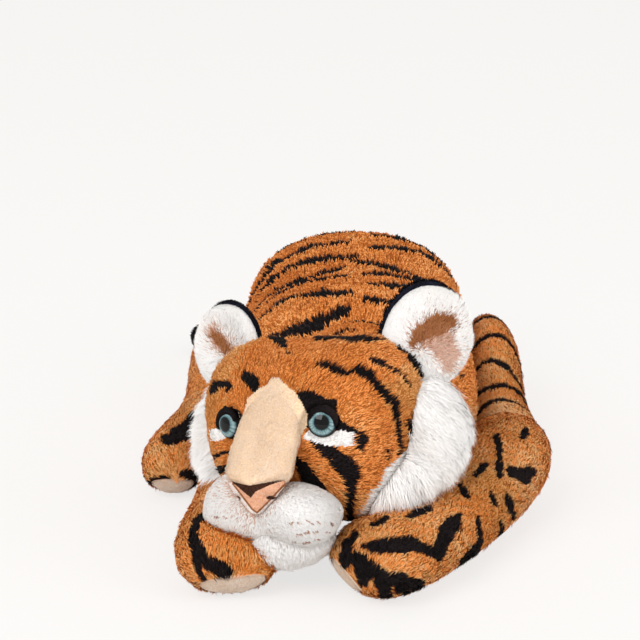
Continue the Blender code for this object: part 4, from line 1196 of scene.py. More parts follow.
MUZZLE_NARROW = 0.89  # the share of its width that the near lobe keeps
NEAR_LOBE_TAPER = 0.10
FAR_LOBE_TAPER = 0.02
NEAR_LOBE_DROP = 0.004
NEAR_LOBE_SLOPE = 0.009
FAR_LOBE_LIFT = 0.007
MUZZLE_CLEFT = 0.0035
CLEFT_HALF_WIDTH = 0.0045
CLEFT_TOP_SHARE = 0.2


def shape_muzzle():
    """Rounds the lobes. The foreleg under the far one pushes it up, and the cleft is pinched in."""
    local = in_head(points_of(muzzle.data))
    wide, _, high = MUZZLE_HALVES
    rise = np.clip((local[:, 2] - MUZZLE_PLACE[2]) / high, -1, 1)
    upper = np.clip(rise, 0, 1)
    near = local[:, 0] > 0
    taper = np.where(near, NEAR_LOBE_TAPER, FAR_LOBE_TAPER)
    local[:, 0] *= np.where(near, MUZZLE_NARROW, 1.0) - taper * upper
    outer = np.clip(np.abs(local[:, 0]) / wide, 0, 1)
    local[:, 2] += upper * np.where(near, -NEAR_LOBE_DROP - NEAR_LOBE_SLOPE * outer, FAR_LOBE_LIFT * outer)
    front = local[:, 1] < MUZZLE_PLACE[1]
    cleft = np.exp(-(local[:, 0] / CLEFT_HALF_WIDTH) ** 2) * np.clip(CLEFT_TOP_SHARE - rise, 0, 1)
    local[:, 1] += front * cleft * MUZZLE_CLEFT
    put_points(muzzle.data, out_of_frame(local, HEAD))


CROWN_FULLNESS = 0.014
CROWN_BACK = 0.05  # how far back the fuller crown reaches
JOWL_DROP = 0.012
JOWL_PLACE = 0.052
JOWL_WIDTH = 0.022
JOWL_HEIGHT = 0.055
JOWL_BACK = 0.02


def fill_head():
    """A fuller crown at both sides, and a near cheek that hangs, because nothing holds it up."""
    local = in_head(points_of(head.data))
    across = local[:, 0] / HEAD_HALF_WIDTH
    upward = np.clip(local[:, 2] / HEAD_HALF_HEIGHT, 0, 1)
    corner = np.clip(4 * (across * upward) ** 2, 0, 1) * np.clip((np.abs(across) - 0.15) / 0.3, 0, 1)
    corner *= np.clip((local[:, 1] + HEAD_HALF_DEPTH) / 0.02, 0, 1)
    corner *= np.clip((CROWN_BACK - local[:, 1]) / 0.04, 0, 1)
    outward = unit(np.stack((local[:, 0], np.zeros(len(local)), np.maximum(local[:, 2], 0)), axis=1))
    low = np.clip(-local[:, 2] / JOWL_HEIGHT, 0, 1) * np.clip((JOWL_BACK - local[:, 1]) / 0.05, 0, 1)
    jowl = np.exp(-((local[:, 0] - JOWL_PLACE) / JOWL_WIDTH) ** 2)
    local += outward * (CROWN_FULLNESS * corner)[:, None]
    local[:, 2] -= JOWL_DROP * low * jowl
    put_points(head.data, out_of_frame(local, HEAD))


fill_head()
drawn_in(head, PILE_ROOM)
head_tree = tree_of(head)
bridge = piece_from("bridge_cover", lofted(bridge_rings(head_tree)), HEAD, 4)
point_bridge()
sink_bridge()
shape_nose()
shape_muzzle()
drawn_in(muzzle, 0.0018)
drawn_in(chin, 0.0018)

NOSTRIL = (0.0135, -0.0335)
NOSTRIL_DEPTH = 0.0028
NOSTRIL_RADIUS = 0.0022
NOSTRIL_MARK = 0.0016  # how far from its middle it is dark
NOSTRIL_WIDE = 1.5  # how much wider it is than high
NOSE_FRONT = -0.105


def from_nostril(local, side):
    return np.hypot((local[:, 0] - side * NOSTRIL[0]) / NOSTRIL_WIDE, local[:, 2] - NOSTRIL[1])


def press_nostrils():
    local = in_head(points_of(nose.data))
    for side in (1, -1):
        dent = np.exp(-(from_nostril(local, side) / NOSTRIL_RADIUS) ** 2)
        local[:, 1] += NOSTRIL_DEPTH * dent * (local[:, 1] < NOSE_FRONT)
    put_points(nose.data, out_of_frame(local, HEAD))


press_nostrils()
SIDES = ((1, "left"), (-1, "right"))
ruffs = {side: piece_from(f"ruff_cover_{name}", lofted(ruff_rings(side)), HEAD, 4) for side, name in SIDES}


def ear_frame(side):
    turn = Matrix.Rotation(math.radians(EAR_TURN * side), 4, "Z")
    tilt = Matrix.Rotation(math.radians(EAR_TILT * side), 4, "Y")
    place = (EAR_PLACE[0] * side, EAR_PLACE[1], EAR_PLACE[2])
    return HEAD @ Matrix.Translation(place) @ turn @ tilt


EAR_RIM = 0.0042
EAR_INNER_SHARE = 0.82
EAR_HEIGHT_SHARES = {1: 1.0, -1: 0.84}
EAR_DROPS = {1: 0.0, -1: 0.002}


def ear_piece(name, side, front):
    """Half an ear: the cupped lining, or the back, whose rim stands out along the inner and upper edge."""
    shape = rounded(EAR_HALVES, (0, 0, 0), 6)
    for vertex in shape.verts:
        x, y, z = vertex.co
        if front:
            y = min(y, EAR_SPLIT - 0.0003)
            share = 1 - (x / EAR_CUP_WIDTH) ** 2 - (z / EAR_CUP_RADIUS) ** 2
            y += EAR_CUP_DEPTH * max(share, 0) * (y < 0)
        else:
            y = max(y, EAR_SPLIT)
            x -= side * EAR_RIM
            z += EAR_RIM * 0.8
        if x * side < 0:
            x *= EAR_INNER_SHARE
        z *= EAR_HEIGHT_SHARES[side]
        vertex.co = (x, y, z - EAR_DROPS[side])
    return piece_from(name, shape, ear_frame(side))


linings = {side: ear_piece(f"ear_lining_{name}_cover", side, True) for side, name in SIDES}
ear_backs = {side: ear_piece(f"ear_back_{name}_cover", side, False) for side, name in SIDES}

limb_covers = {}
for limb in LIMBS:
    cover = piece_from(f"{limb.name}_cover", lofted(swept(limb.stations(), LIMB_SIDES)), limb.frame, 4)
    drawn_in(cover, PILE_ROOM)
    settle(cover)
    limb_covers[limb.name] = cover
tail = piece_from("tail_cover", lofted(swept(tail_stations(), LIMB_SIDES)), Matrix.Translation(TAIL_ROOT), 4)
drawn_in(tail, PILE_ROOM)
settle(tail)


def eye_frame(side):
    place = (EYE_PLACE[0] * side, EYE_PLACE[1], EYE_PLACE[2])
    return HEAD @ Matrix.Translation(place) @ Matrix.Rotation(math.radians(EYE_TURN * side), 4, "Z")


EYE_FRAMES = {side: eye_frame(side) for side in (1, -1)}


SOCKET_RISE = 0.012
SOCKET_REACH = 0.03  # plush further ahead of the rim than this is another part of the head
EYE_GAP = 0.0006  # no pile grows this close to an eye
BEHIND_EYE = -0.02  # plush further behind the rim than this is away from the eye


def from_eye(points, side):
    """How far points lie from an eye's axis, and how far ahead of its rim."""
    local = in_frame(points, EYE_FRAMES[side])
    return np.hypot(local[:, 0], local[:, 2]), -local[:, 1]


def sink_sockets():
    """Draws the head's plush back round each eye, so that the dome stands in a shallow socket."""
    points = points_of(head.data)
    for side in (1, -1):
        away, ahead = from_eye(points, side)
        limit = SOCKET_FLOOR + np.clip((away - SOCKET_RADIUS) / SOCKET_SLOPE, 0, 1) ** 1.5 * SOCKET_RISE
        over = (away < SOCKET_RADIUS + SOCKET_SLOPE) & (ahead > limit) & (ahead < SOCKET_REACH)
        forward = -np.array(EYE_FRAMES[side])[:3, 1]
        points[over] -= (ahead - limit)[over, None] * forward
    put_points(head.data, points)


STUFFING_INSET = 0.0046
STUFFING_LUMP = 0.0008
STUFFING_LEAST = 0.0034  # where a cover is pressed, its filling still lies at least this deep


def inset_copy(cover, name):
    """A copy of a cover, drawn in by the cloth and with soft lumps."""
    filling = added(name, cover.data.copy())
    points = points_of(filling.data)
    inward = STUFFING_INSET + STUFFING_LUMP * mottle(points, 0.03, 8)
    put_points(filling.data, points - normals_of(filling.data) * inward[:, None])
    return filling


sink_sockets()
head_trees = {piece.name: tree_of(piece) for piece in (head, muzzle, chin, bridge, nose, *ruffs.values())}
HEAD_ROOM = 0.003
RUFF_ROOM = 0.007  # the ruff's long hair dents the leg that it lies on
limb_fillings = {}
for limb in LIMBS:
    cover = limb_covers[limb.name]
    limb_fillings[limb.name] = inset_copy(cover, f"{limb.name}_stuffing_fibre")
    if limb.seen and limb is not HIND_RIGHT:
        ruff_tree = head_trees[ruffs[limb.side].name]
        for piece, inset in ((cover, 0.0), (limb_fillings[limb.name], STUFFING_INSET)):
            before = points_of(piece.data)
            press_down(piece, ruff_tree, RUFF_ROOM + inset)
            for key in (head.name, muzzle.name, chin.name, ruffs[limb.side].name):
                press(piece, head_trees[key], HEAD_ROOM + inset)
            soften(piece, before)
        keep_inside(limb_fillings[limb.name], tree_of(cover), STUFFING_LEAST)
    settle(cover)


def cut_off(mesh, matrix, plane, keep_cap):
    """One side of a plane through a closed form, closed again."""
    point, normal = plane
    shape = bmesh.new()
    shape.from_mesh(mesh)
    bmesh.ops.bisect_plane(
        shape, geom=shape.verts[:] + shape.edges[:] + shape.faces[:], plane_co=matrix @ Vector(point),
        plane_no=matrix.to_3x3() @ Vector(normal), clear_inner=keep_cap, clear_outer=not keep_cap,
    )
    rim = [edge for edge in shape.edges if edge.is_boundary]
    bmesh.ops.edgeloop_fill(shape, edges=rim)
    made = bpy.data.meshes.new(mesh.name)
    shape.to_mesh(made)
    shape.free()
    made.shade_smooth()
    return made


soles = {}
for limb in LIMBS:
    cover = limb_covers[limb.name]
    whole = cover.data
    cap_name = limb.name.replace("foreleg", "front_sole").replace("hind_leg", "hind_sole") + "_pad"
    sole = added(cap_name, cut_off(whole, limb.frame, limb.sole_plane(), True))
    drawn_in(sole, SOLE_INSET)
    settle(sole)
    cover.data = cut_off(whole, limb.frame, limb.sole_plane(), False)
    soles[limb.name] = sole


WISP = 0.00625  # about the width of a wisp of fibre


def fibre_filling():
    """Carded polyester fibre: matt white wisps in soft lumps, with painted shade that makes them greyer where
    they part.
    """
    made, tree, shader = finish_of(
        "carded_polyester_fibre", Roughness=0.95, Sheen_Weight=0.3, Specular_IOR_Level=0.1,
    )
    place = own_place(tree)
    wisps = noise(tree, place, 1 / WISP, 6.0, 2.0)
    shade = ramp(tree, wisps, ((0.3, "#D5D4D0"), (0.5, "#EBEAE7"), (0.7, "#F8F8F6")))
    tree.links.new(shade, shader.inputs["Base Color"])
    bumped(tree, shader, wisps, Strength=1.0, Distance=0.004)
    return made


FIBRE_FILL = fibre_filling()


def stuff(filling, body_name, cad_node):
    filling.data.materials.clear()
    filling.data.materials.append(FIBRE_FILL)
    stand_for(filling, body_name, "fibre_fill", cad_node, fill=0.7)


stuff(inset_copy(body, "body_stuffing_fibre"), "body", "body_stuffing")
stuff(inset_copy(head, "head_stuffing_fibre"), "head", "head_stuffing")
stuff(inset_copy(tail, "tail_stuffing_fibre"), "tail", "tail_stuffing")
for limb in LIMBS:
    filling = limb_fillings[limb.name]
    point, normal = limb.sole_plane()
    filling.data = cut_off(filling.data, limb.frame, (point - normal * STUFFING_INSET, normal), False)
    stuff(filling, limb.name, f"{limb.name}_stuffing")


NOSE_MIDDLE = 256  # pixels across
FAWN_FAR_REACH = 9.0
FAWN_NEAR_REACH = 4.5
# How far below the nose's lower edge the brown reaches, and how wide the brown line on that edge is, in
# pixels: both are painted shadow of the nose.
NOSE_SHADOW = 1.6
NOSE_SHADOW_LINE = 0.9
NOSE_ABOVE = [(300, 470), (220, 470)]


def muzzle_colours(points, normals):
    """White, with a fawn fade beside the nose, a brown band along the nose's lower edge that is painted
    shadow, and small brown whisker marks.
    """
    colours = painted(len(points), "white")
    chance = np.random.default_rng(41).random(len(points))
    places = to_frame(points)
    gap = from_strokes(places, (NOSE_EDGE,))
    reach = np.where(places[:, 0] < NOSE_MIDDLE, FAWN_FAR_REACH, FAWN_NEAR_REACH)
    colours[chance < 1.15 * np.exp(-gap / reach)] = NUMBER["fawn"]
    # Brown close below the nose's edge: painted shadow of the nose.
    colours[chance < 1.3 * np.exp(-gap / NOSE_SHADOW)] = NUMBER["brown"]
    colours[on_strokes(places, WHISKER_MARKS) & (chance < 0.7)] = NUMBER["brown"]
    return colours


def nose_colours(points, normals):
    colours = painted(len(points), "peach")
    places = to_frame(points)
    edge = [corner[:2] for corner in NOSE_EDGE]
    colours[~within(places, edge + NOSE_ABOVE)] = NUMBER["fawn"]
    # A thin brown line on the nose's lower edge: painted shadow.
    colours[on_strokes(places, (NOSE_EDGE,), NOSE_SHADOW_LINE)] = NUMBER["brown"]
    colours[within(places, NOSE_BAND)] = NUMBER["dark"]
    local = in_head(points)
    for side in (1, -1):
        colours[from_nostril(local, side) < NOSTRIL_MARK] = NUMBER["dark"]
    return colours


def ear_colours(points, normals):
    """White, with a brown hollow that fades to fawn below."""
    colours = painted(len(points), "white")
    chance = np.random.default_rng(42).random(len(points))
    places = to_frame(points)
    near = places[:, 0] > FRAME_PIXELS / 2
    shown = facing(points, normals) > 0
    for ear, patches in ((near, (NEAR_EAR_FADE, NEAR_EAR_HOLLOW)), (~near, (FAR_EAR_FADE, FAR_EAR_HOLLOW))):
        for patch, plush, reach in zip(patches, ("fawn", "brown"), (4, 3)):
            gap = np.maximum(from_strokes(places, (patch,)), 0)
            colours[shown & ear & (chance < np.exp(-gap / reach))] = NUMBER[plush]
    return colours


def neck_colours(points, normals):
    """Orange, with the stripes of the crown going on over it."""
    colours = painted(len(points), "orange")
    around = np.arctan2(points[:, 0] - NECK[0], points[:, 2] - NECK[2]) * NECK_RADIUS
    spread = np.stack((points[:, 1] - NECK[1], around), axis=1) + ragged(points, 0.001)
    colours[on_strokes(spread, NECK_STRIPES)] = NUMBER["black"]
    return colours


def all_of(plush):
    return lambda points, normals: painted(len(points), plush)


TAIL_RING_SPACING = 0.026
TAIL_RING_GAP = 0.60  # the share of the spacing that stays orange
TAIL_PLAIN = 0.02  # how far from its root the rings start
TAIL_TIP = 0.030


def tail_colours(points, normals):
    """Rings along the tail and a black tip."""
    colours = painted(len(points), "orange")
    path = np.array([np.add(station[0], TAIL_ROOT) for station in tail_stations()])
    steps = np.linalg.norm(np.diff(path, axis=0), axis=1)
    starts = np.concatenate(((0,), np.cumsum(steps)))
    gaps = np.linalg.norm(points[:, None, :] - path[None], axis=2)
    nearest = np.clip(gaps.argmin(axis=1), 1, len(path) - 2)
    run = unit(path[nearest + 1] - path[nearest - 1])
    along = starts[nearest] + ((points - path[nearest]) * run).sum(axis=1)
    along += 0.0016 * mottle(points, 0.012, 6)
    ring_share = (along % TAIL_RING_SPACING) / TAIL_RING_SPACING
    colours[(ring_share > TAIL_RING_GAP) & (along > TAIL_PLAIN)] = NUMBER["black"]
    colours[along > starts[-1] - TAIL_TIP] = NUMBER["black"]
    return colours


paint_cloth(body, body_colours)
paint_cloth(neck, neck_colours)
paint_cloth(head, head_colours)
for piece in (muzzle, chin, *ruffs.values()):
    paint_cloth(piece, all_of("white"))
paint_cloth(bridge, all_of("cream"))
paint_cloth(nose, nose_colours)
for side in (1, -1):
    paint_cloth(linings[side], ear_colours)
    paint_cloth(ear_backs[side], all_of("navy"))
PHOTO_STRIPES = {
    "foreleg_left": FORELEG_LEFT_STRIPES, "foreleg_right": FORELEG_RIGHT_STRIPES,
    "hind_leg_right": HIND_RIGHT_STRIPES, "hind_leg_left": (),
}
limb_paint = {limb.name: limb_colours(PHOTO_STRIPES[limb.name], limb) for limb in LIMBS}
for limb in LIMBS:
    paint_cloth(limb_covers[limb.name], limb_paint[limb.name])
    paint_cloth(soles[limb.name], all_of("sole"))
paint_cloth(tail, tail_colours)

stand_for(body, "body", "orange_plush", "body_skin", fill=0.7)
stand_for(neck, "body", "orange_plush", fill=0.7)
stand_for(head, "head", "orange_plush", "head_skin", fill=0.9)
stand_for(muzzle, "head", "white_plush", "muzzle", fill=0.8)
stand_for(chin, "head", "white_plush", "chin", fill=0.8)
stand_for(bridge, "head", "cream_plush", "nose_bridge", fill=0.8)
stand_for(nose, "head", "nose_cloth", "nose", fill=0.8)
for side, name in SIDES:
    stand_for(ruffs[side], "head", "white_plush", f"ruff_{name}", fill=0.5)
    stand_for(linings[side], "head", "white_plush", f"ear_lining_{name}", fill=0.4)
    stand_for(ear_backs[side], "head", "black_plush", f"ear_back_{name}", fill=0.4)
for limb in LIMBS:
    stand_for(limb_covers[limb.name], limb.name, "orange_plush", f"{limb.name}_skin", fill=0.75)
    stand_for(soles[limb.name], limb.name, "sole_plush", soles[limb.name].name.replace("_pad", ""), fill=0.75)
stand_for(tail, "tail", "orange_plush", "tail_skin", fill=0.7)

# Eyes

EYE_STEPS = (0.0, 0.10, 0.22, 0.35, 0.49, 0.60, 0.70, 0.78, 0.85, 0.91, 0.955, 0.985, 1.0)
EYE_RIM = 0.0015
SHANK_RADIUS = 0.0028
SHANK_LENGTH = 0.015


def moulded_eye():
    """Moulded acrylic dome over a printed iris: a pale teal ring with fine spokes and a black pupil."""
    made, tree, shader = finish_of(
        "moulded_acrylic_eye", Roughness=0.25, Coat_Weight=0.55, Coat_Roughness=0.02, Specular_IOR_Level=0.0,
    )
    place = own_place(tree)
    flat = node(tree, "ShaderNodeVectorMath", {0: place, 1: (1.0, 0.0, 1.0)}, operation="MULTIPLY").outputs[0]
    radius = node(tree, "ShaderNodeVectorMath", {0: flat}, operation="LENGTH").outputs["Value"]
    share = node(tree, "ShaderNodeMath", {0: radius, 1: EYE_RADIUS}, operation="DIVIDE").outputs[0]
    ring_colour = ramp(tree, share, (
        (0.0, "#020203"), (0.45, "#050607"), (0.49, "#35545A"), (0.56, "#6C8F94"), (0.70, "#96B3B6"),
        (0.81, "#6C8D92"), (0.86, "#2A3C40"), (0.89, "#090B0D"), (1.0, "#050506"),
    ))
    spoke_place = node(tree, "ShaderNodeVectorMath", {0: flat}, operation="NORMALIZE").outputs[0]
    spokes = noise(tree, spoke_place, 9.0, 5.0)
    specks = noise(tree, place, 1500.0, 3.0)
    grain = node(tree, "ShaderNodeMath", {0: spokes, 1: specks}, operation="MULTIPLY")
    light = node(
        tree, "ShaderNodeMapRange",
        {"Value": grain.outputs[0], "From Min": 0.14, "From Max": 0.34, "To Min": 0.35, "To Max": 1.2},
    )
    tone = node(
        tree, "ShaderNodeMix", {"Factor": 1.0, "A": ring_colour, "B": light.outputs["Result"]},
        data_type="RGBA", blend_type="MULTIPLY",
    )
    tree.links.new(tone.outputs["Result"], shader.inputs["Base Color"])
    return made


def eye_dome(name, side):
    """The dome's crown and rim, its flat back and the shank that goes through the head's plush."""
    profile = [(EYE_RADIUS * s, EYE_HEIGHT * math.sqrt(max(1 - s * s, 0))) for s in EYE_STEPS]
    profile += [
        (EYE_RADIUS, -EYE_RIM), (SHANK_RADIUS, -EYE_RIM), (SHANK_RADIUS, -SHANK_LENGTH), (0, -SHANK_LENGTH),
    ]
    shape = bmesh.new()
    points = [shape.verts.new((radius, -height, 0)) for radius, height in profile]
    edges = [shape.edges.new(pair) for pair in zip(points, points[1:])]
    bmesh.ops.spin(
        shape, geom=points + edges, cent=(0, 0, 0), axis=(0, 1, 0), angle=2 * math.pi, steps=64,
        use_merge=True,
    )
    bmesh.ops.remove_doubles(shape, verts=shape.verts, dist=1e-6)
    bmesh.ops.recalc_face_normals(shape, faces=shape.faces[:])
    mesh = bpy.data.meshes.new(name)
    shape.to_mesh(mesh)
    shape.free()
    mesh.shade_smooth()
    dome = added(name, mesh)
    dome.matrix_world = EYE_FRAMES[side]
    bpy.context.view_layer.update()
    return dome


EYE_PLASTIC = moulded_eye()
for side, name in SIDES:
    dome = eye_dome(f"eye_dome_{name}", side)
    dome.data.materials.append(EYE_PLASTIC)
    stand_for(dome, "head", "eye_plastic", f"eye_{name}")

LID_REACH = 0.0101
LID_AHEAD = 0.0040
LID_THICKNESS = 0.0020
LID_START = -18.0
LID_END = 168.0
# The lid is heaviest towards the outer corner and reaches in further there: that extra black is partly the
# lid and partly painted shade of the lid on the iris.
LID_HEAVY = 55.0  # where the lid is thickest, towards the outer corner
LID_SPREAD = 45.0
LID_SHADE_EXTRA = 0.45  # how much thicker it is there
LID_STEPS = 20


def eyelid(name, side):
    """A roll of black plush sewn along the eye's upper rim, heaviest and reaching furthest in towards the
    outer corner: there its black is partly the lid and partly painted shade, standing in for the shade that
    the lid casts on the iris.
    """
    rings = []
    for step in range(LID_STEPS + 1):
        share = step / LID_STEPS
        angle = LID_START + (LID_END - LID_START) * share
        taper = math.sin(math.pi * (0.05 + 0.90 * share)) ** 0.5
        heavy = 1 + LID_SHADE_EXTRA * math.exp(-((angle - LID_HEAVY) / LID_SPREAD) ** 2)
        thick = LID_THICKNESS * taper * heavy
        radial = np.array((side * math.cos(math.radians(angle)), 0, math.sin(math.radians(angle))))
        centre = radial * (LID_REACH - 0.0012 * (heavy - 1)) + (0, -LID_AHEAD, 0)
        rings.append(ring(centre, radial * thick, np.array((0, 1, 0)) * thick * 0.9, LIMB_SIDES))
    return piece_from(name, lofted(rings), EYE_FRAMES[side], 2)


lids = {side: eyelid(f"eyelid_{name}", side) for side, name in SIDES}
for lid in lids.values():
    paint_cloth(lid, all_of("black"))
    stand_for(lid, "head", "black_plush", fill=0.6)


PLY_SPACING = 0.0006
THREAD_RADIUS = 0.00045


def twisted_thread():
    """Twisted polyester thread: dark brown, with light and dark plies that wind round it."""
    made, tree, shader = finish_of("twisted_polyester_thread", Roughness=0.6, Specular_IOR_Level=0.3)
    place = own_place(tree)
    plies = node(
        tree, "ShaderNodeTexWave", {"Vector": place, "Scale": 1 / PLY_SPACING / 2, "Distortion": 1.0},
        bands_direction="DIAGONAL",
    )
    shade = ramp(tree, plies.outputs["Fac"], ((0.2, "#2E1610"), (0.6, "#5A3326"), (1.0, "#7A4C3A")))
    tree.links.new(shade, shader.inputs["Base Color"])
    bumped(tree, shader, plies.outputs["Fac"], Strength=0.6, Distance=0.0002)
    return made


THREAD = twisted_thread()


def stitched(name, stitches):
    """Short straight stitches, each from one point to another, as rounded thread."""
    shape = bmesh.new()
    for start, end in stitches:
        run = Vector(end) - Vector(start)
        turn = run.to_track_quat("Z", "Y").to_matrix().to_4x4()
        place = Matrix.Translation((Vector(start) + Vector(end)) / 2) @ turn
        made = bmesh.ops.create_icosphere(shape, subdivisions=3, radius=1.0)["verts"]
        size = Matrix.Diagonal((THREAD_RADIUS, THREAD_RADIUS, run.length / 2, 1))
        bmesh.ops.transform(shape, matrix=place @ size, verts=made)
    piece = piece_from(name, shape, WORLD)
    piece.data.materials.append(THREAD)
    return piece


def on_surface(tree, origin, direction, above):
    """The point where a line meets a cover, lifted a little off it."""
    near, normal, _, _ = tree.ray_cast(Vector(origin), Vector(direction))
    return near + normal * above


MOUTH_HEIGHTS = (-0.0655, -0.0690, -0.0725)
MOUTH_HALF_WIDTH = 0.0016
STITCH_LIFT = 0.0012


def mouth_stitches():
    """Small stitches that draw the cleft in under the nose."""
    found = []
    for height in MOUTH_HEIGHTS:
        ends = []
        for across in (-MOUTH_HALF_WIDTH, MOUTH_HALF_WIDTH):
            origin = HEAD @ Vector((across, -0.2, height))
            ahead = HEAD.to_3x3() @ Vector((0, 1, 0))
            ends.append(on_surface(head_trees["muzzle_cover"], origin, ahead, STITCH_LIFT))
        found.append(ends)
    return found


mouth = stitched("mouth_stitches", mouth_stitches())
stand_for(mouth, "head", "dark_thread", "mouth_stitching")

BELLY_SEAM_START = -0.045
BELLY_SEAM_END = 0.045
BELLY_STITCHES = 15
BELLY_STITCH_WIDTH = 0.004
BELLY_STITCH_HEIGHT = 0.0005


def belly_stitches():
    """Slanted hand stitches that close the opening for the stuffing."""
    found = []
    step = (BELLY_SEAM_END - BELLY_SEAM_START) / BELLY_STITCHES
    for index in range(BELLY_STITCHES):
        along = BELLY_SEAM_START + step * index
        first = (-BELLY_STITCH_WIDTH / 2, along, BELLY_STITCH_HEIGHT)
        second = (BELLY_STITCH_WIDTH / 2, along + step * 0.8, BELLY_STITCH_HEIGHT)
        found.append((first, second))
    return found


belly_seam = stitched("belly_stitches", belly_stitches())
stand_for(belly_seam, "body", "dark_thread", "closing_seam")


def moulded_washer():
    """Moulded white polypropylene: waxy, a little translucent-looking, with faint flow marks."""
    made, tree, shader = finish_of("moulded_polypropylene_washer", Roughness=0.45, Specular_IOR_Level=0.4)
    place = own_place(tree)
    flow = noise(tree, place, 250.0, 3.0, 1.5)
    shade = ramp(tree, flow, ((0.3, "#CFCFCD"), (0.7, "#E2E2E0")))
    tree.links.new(shade, shader.inputs["Base Color"])
    bumped(tree, shader, flow, Strength=0.15, Distance=0.0003)
    return made


WASHER = moulded_washer()
for name in ("eye_washer_left", "eye_washer_right"):
    washer = frame["nodes"][name]
    for slot in washer.material_slots:
        slot.material = WASHER

# Pile

SHARE = 1.0
SHELLS = {piece.name: shell_of(piece) for piece in (
    body, neck, head, muzzle, chin, bridge, nose, tail, *ruffs.values(), *linings.values(),
    *ear_backs.values(), *limb_covers.values(),
)}


def dress(
    name, cover, body_name, count, length, width, lift, flow, colours_at, seed,
    trim=None, beside=(), margin=0.0, half=None,
):
    """Grows pile over a cover, except where a neighbour covers it."""
    roots, normals, source = scattered(cover, int(count * SHARE), seed)
    free = clear_of(roots, [SHELLS[key] for key in beside], margin)
    if cover in (head, bridge):
        for side in (1, -1):
            away, ahead = from_eye(roots, side)
            free &= (away > EYE_RADIUS + EYE_GAP) | (ahead < BEHIND_EYE)
    if half:
        free &= half(roots)
    roots, normals = roots[free], normals[free]
    directions = flow(roots)
    brushed = unit(directions - normals * (directions * normals).sum(axis=1)[:, None])
    tall = np.full(len(roots), length)
    if trim:
        tall = tall * trim(roots)
    plushes = colours_at(roots + brushed * tall[:, None] * 0.45, normals)
    grown = pile(name, roots, normals, source, brushed, plushes, tall, width, lift)
    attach(grown, body_name)
    return grown


def ahead_of_sole(points, limb):
    """How far points lie beyond the plane of the sole's edge."""
    point, normal = limb.sole_plane()
    return (in_frame(points, limb.frame) - point) @ normal


NOSE_CENTRE = placed((0, -0.115, -0.03))
MUZZLE_CENTRE = placed((0, -0.11, -0.03))
CHIN_CENTRE = placed((0, -0.09, -0.05))
FACE_CENTRE = placed((0, -0.11, 0.02))
DOWN = np.array((0, 0, -1.0))
HEAD_NEIGHBOURS = (
    "muzzle_cover", "chin_cover", "bridge_cover", "nose_cover", "ruff_cover_left", "ruff_cover_right",
    "ear_lining_left_cover", "ear_lining_right_cover", "ear_back_left_cover", "ear_back_right_cover",
    "body_cover", "neck_cover",
)


def head_trim(points):
    """Shorter pile round the eyes and along the bridge."""
    trim = np.ones(len(points))
    for side in (1, -1):
        away, ahead = from_eye(points, side)
        near = np.clip((away - EYE_RADIUS) / 0.016, 0, 1)
        trim = np.minimum(trim, np.where(ahead > BEHIND_EYE, 0.3 + 0.7 * near, 1.0))
    on_bridge = within(to_frame(points), BRIDGE_OUTLINE)
    trim[on_bridge] *= 0.35
    return trim


def away_from(centre, pull=(0, 0, 0)):
    return lambda points: unit(points - centre) + np.array(pull)


def constant(direction):
    return lambda points: np.tile(np.array(direction, float), (len(points), 1))


dress(
    "head_pile", head, "head", count=66000, length=0.0066, width=0.0008, lift=13,
    flow=away_from(NOSE_CENTRE, (0, 0, -0.15)), colours_at=head_colours, seed=101,
    trim=head_trim, beside=HEAD_NEIGHBOURS,
)
dress(
    "bridge_pile", bridge, "head", count=24000, length=0.0022, width=0.0005, lift=12,
    flow=away_from(NOSE_CENTRE), colours_at=all_of("cream"), seed=102, beside=("head_cover", "nose_cover"),
)
dress(
    "muzzle_pile", muzzle, "head", count=60000, length=0.0030, width=0.0005, lift=14,
    flow=away_from(MUZZLE_CENTRE, (0, 0, -0.3)), colours_at=muzzle_colours, seed=103,
    beside=("head_cover", "nose_cover", "bridge_cover", "chin_cover"),
)
dress(
    "chin_pile", chin, "head", count=26000, length=0.0065, width=0.0006, lift=16,
    flow=away_from(CHIN_CENTRE, (0, 0, -0.5)), colours_at=all_of("white"), seed=104,
    beside=("head_cover", "muzzle_cover"),
)
for side, name in SIDES:
    dress(
        f"eyelid_pile_{name}", lids[side], "head", count=5000, length=0.0020, width=0.0005,
        lift=14, flow=away_from(FACE_CENTRE), colours_at=all_of("black"), seed=150 + side,
    )
dress(
    "nose_pile", nose, "head", count=6000, length=0.0011, width=0.0004, lift=14,
    flow=constant(turned((0, 0, 1))), colours_at=nose_colours, seed=105,
    beside=("bridge_cover", "head_cover"),
)


def hanging(direction, low):
    """Combed in a direction above, and hanging straight down below."""
    return lambda points: np.array(direction) * (1 - low(points))[:, None] + DOWN * low(points)[:, None]


def ruff_low(points):
    return np.clip((-0.012 - in_head(points)[:, 2]) / 0.030, 0, 1)


def ruff_trim(points):
    """Longer hair below, where the ruff hangs over the leg."""
    return 1 + 0.35 * ruff_low(points)


def ear_trim(side):
    """Short pile at the inner and upper edge, so that the back's rim shows there."""
    def trim(points):
        local = in_frame(points, ear_frame(side))
        edge = np.hypot(local[:, 0] / EAR_HALVES[0], local[:, 2] / EAR_HALVES[2])
        inner = np.clip((-side * local[:, 0] + 0.35 * local[:, 2]) / 0.02, 0, 1)
        return 1 - 0.7 * inner * np.clip((edge - 0.45) / 0.3, 0, 1)
    return trim


EAR_DROP_OF_CENTRE = 0.012
PARTING = 0.0008  # how far from a seam the pile starts
BACK_PARTING = 0.0004
LEG_MARGIN = 0.0015  # no pile grows on a leg this close to what lies on it

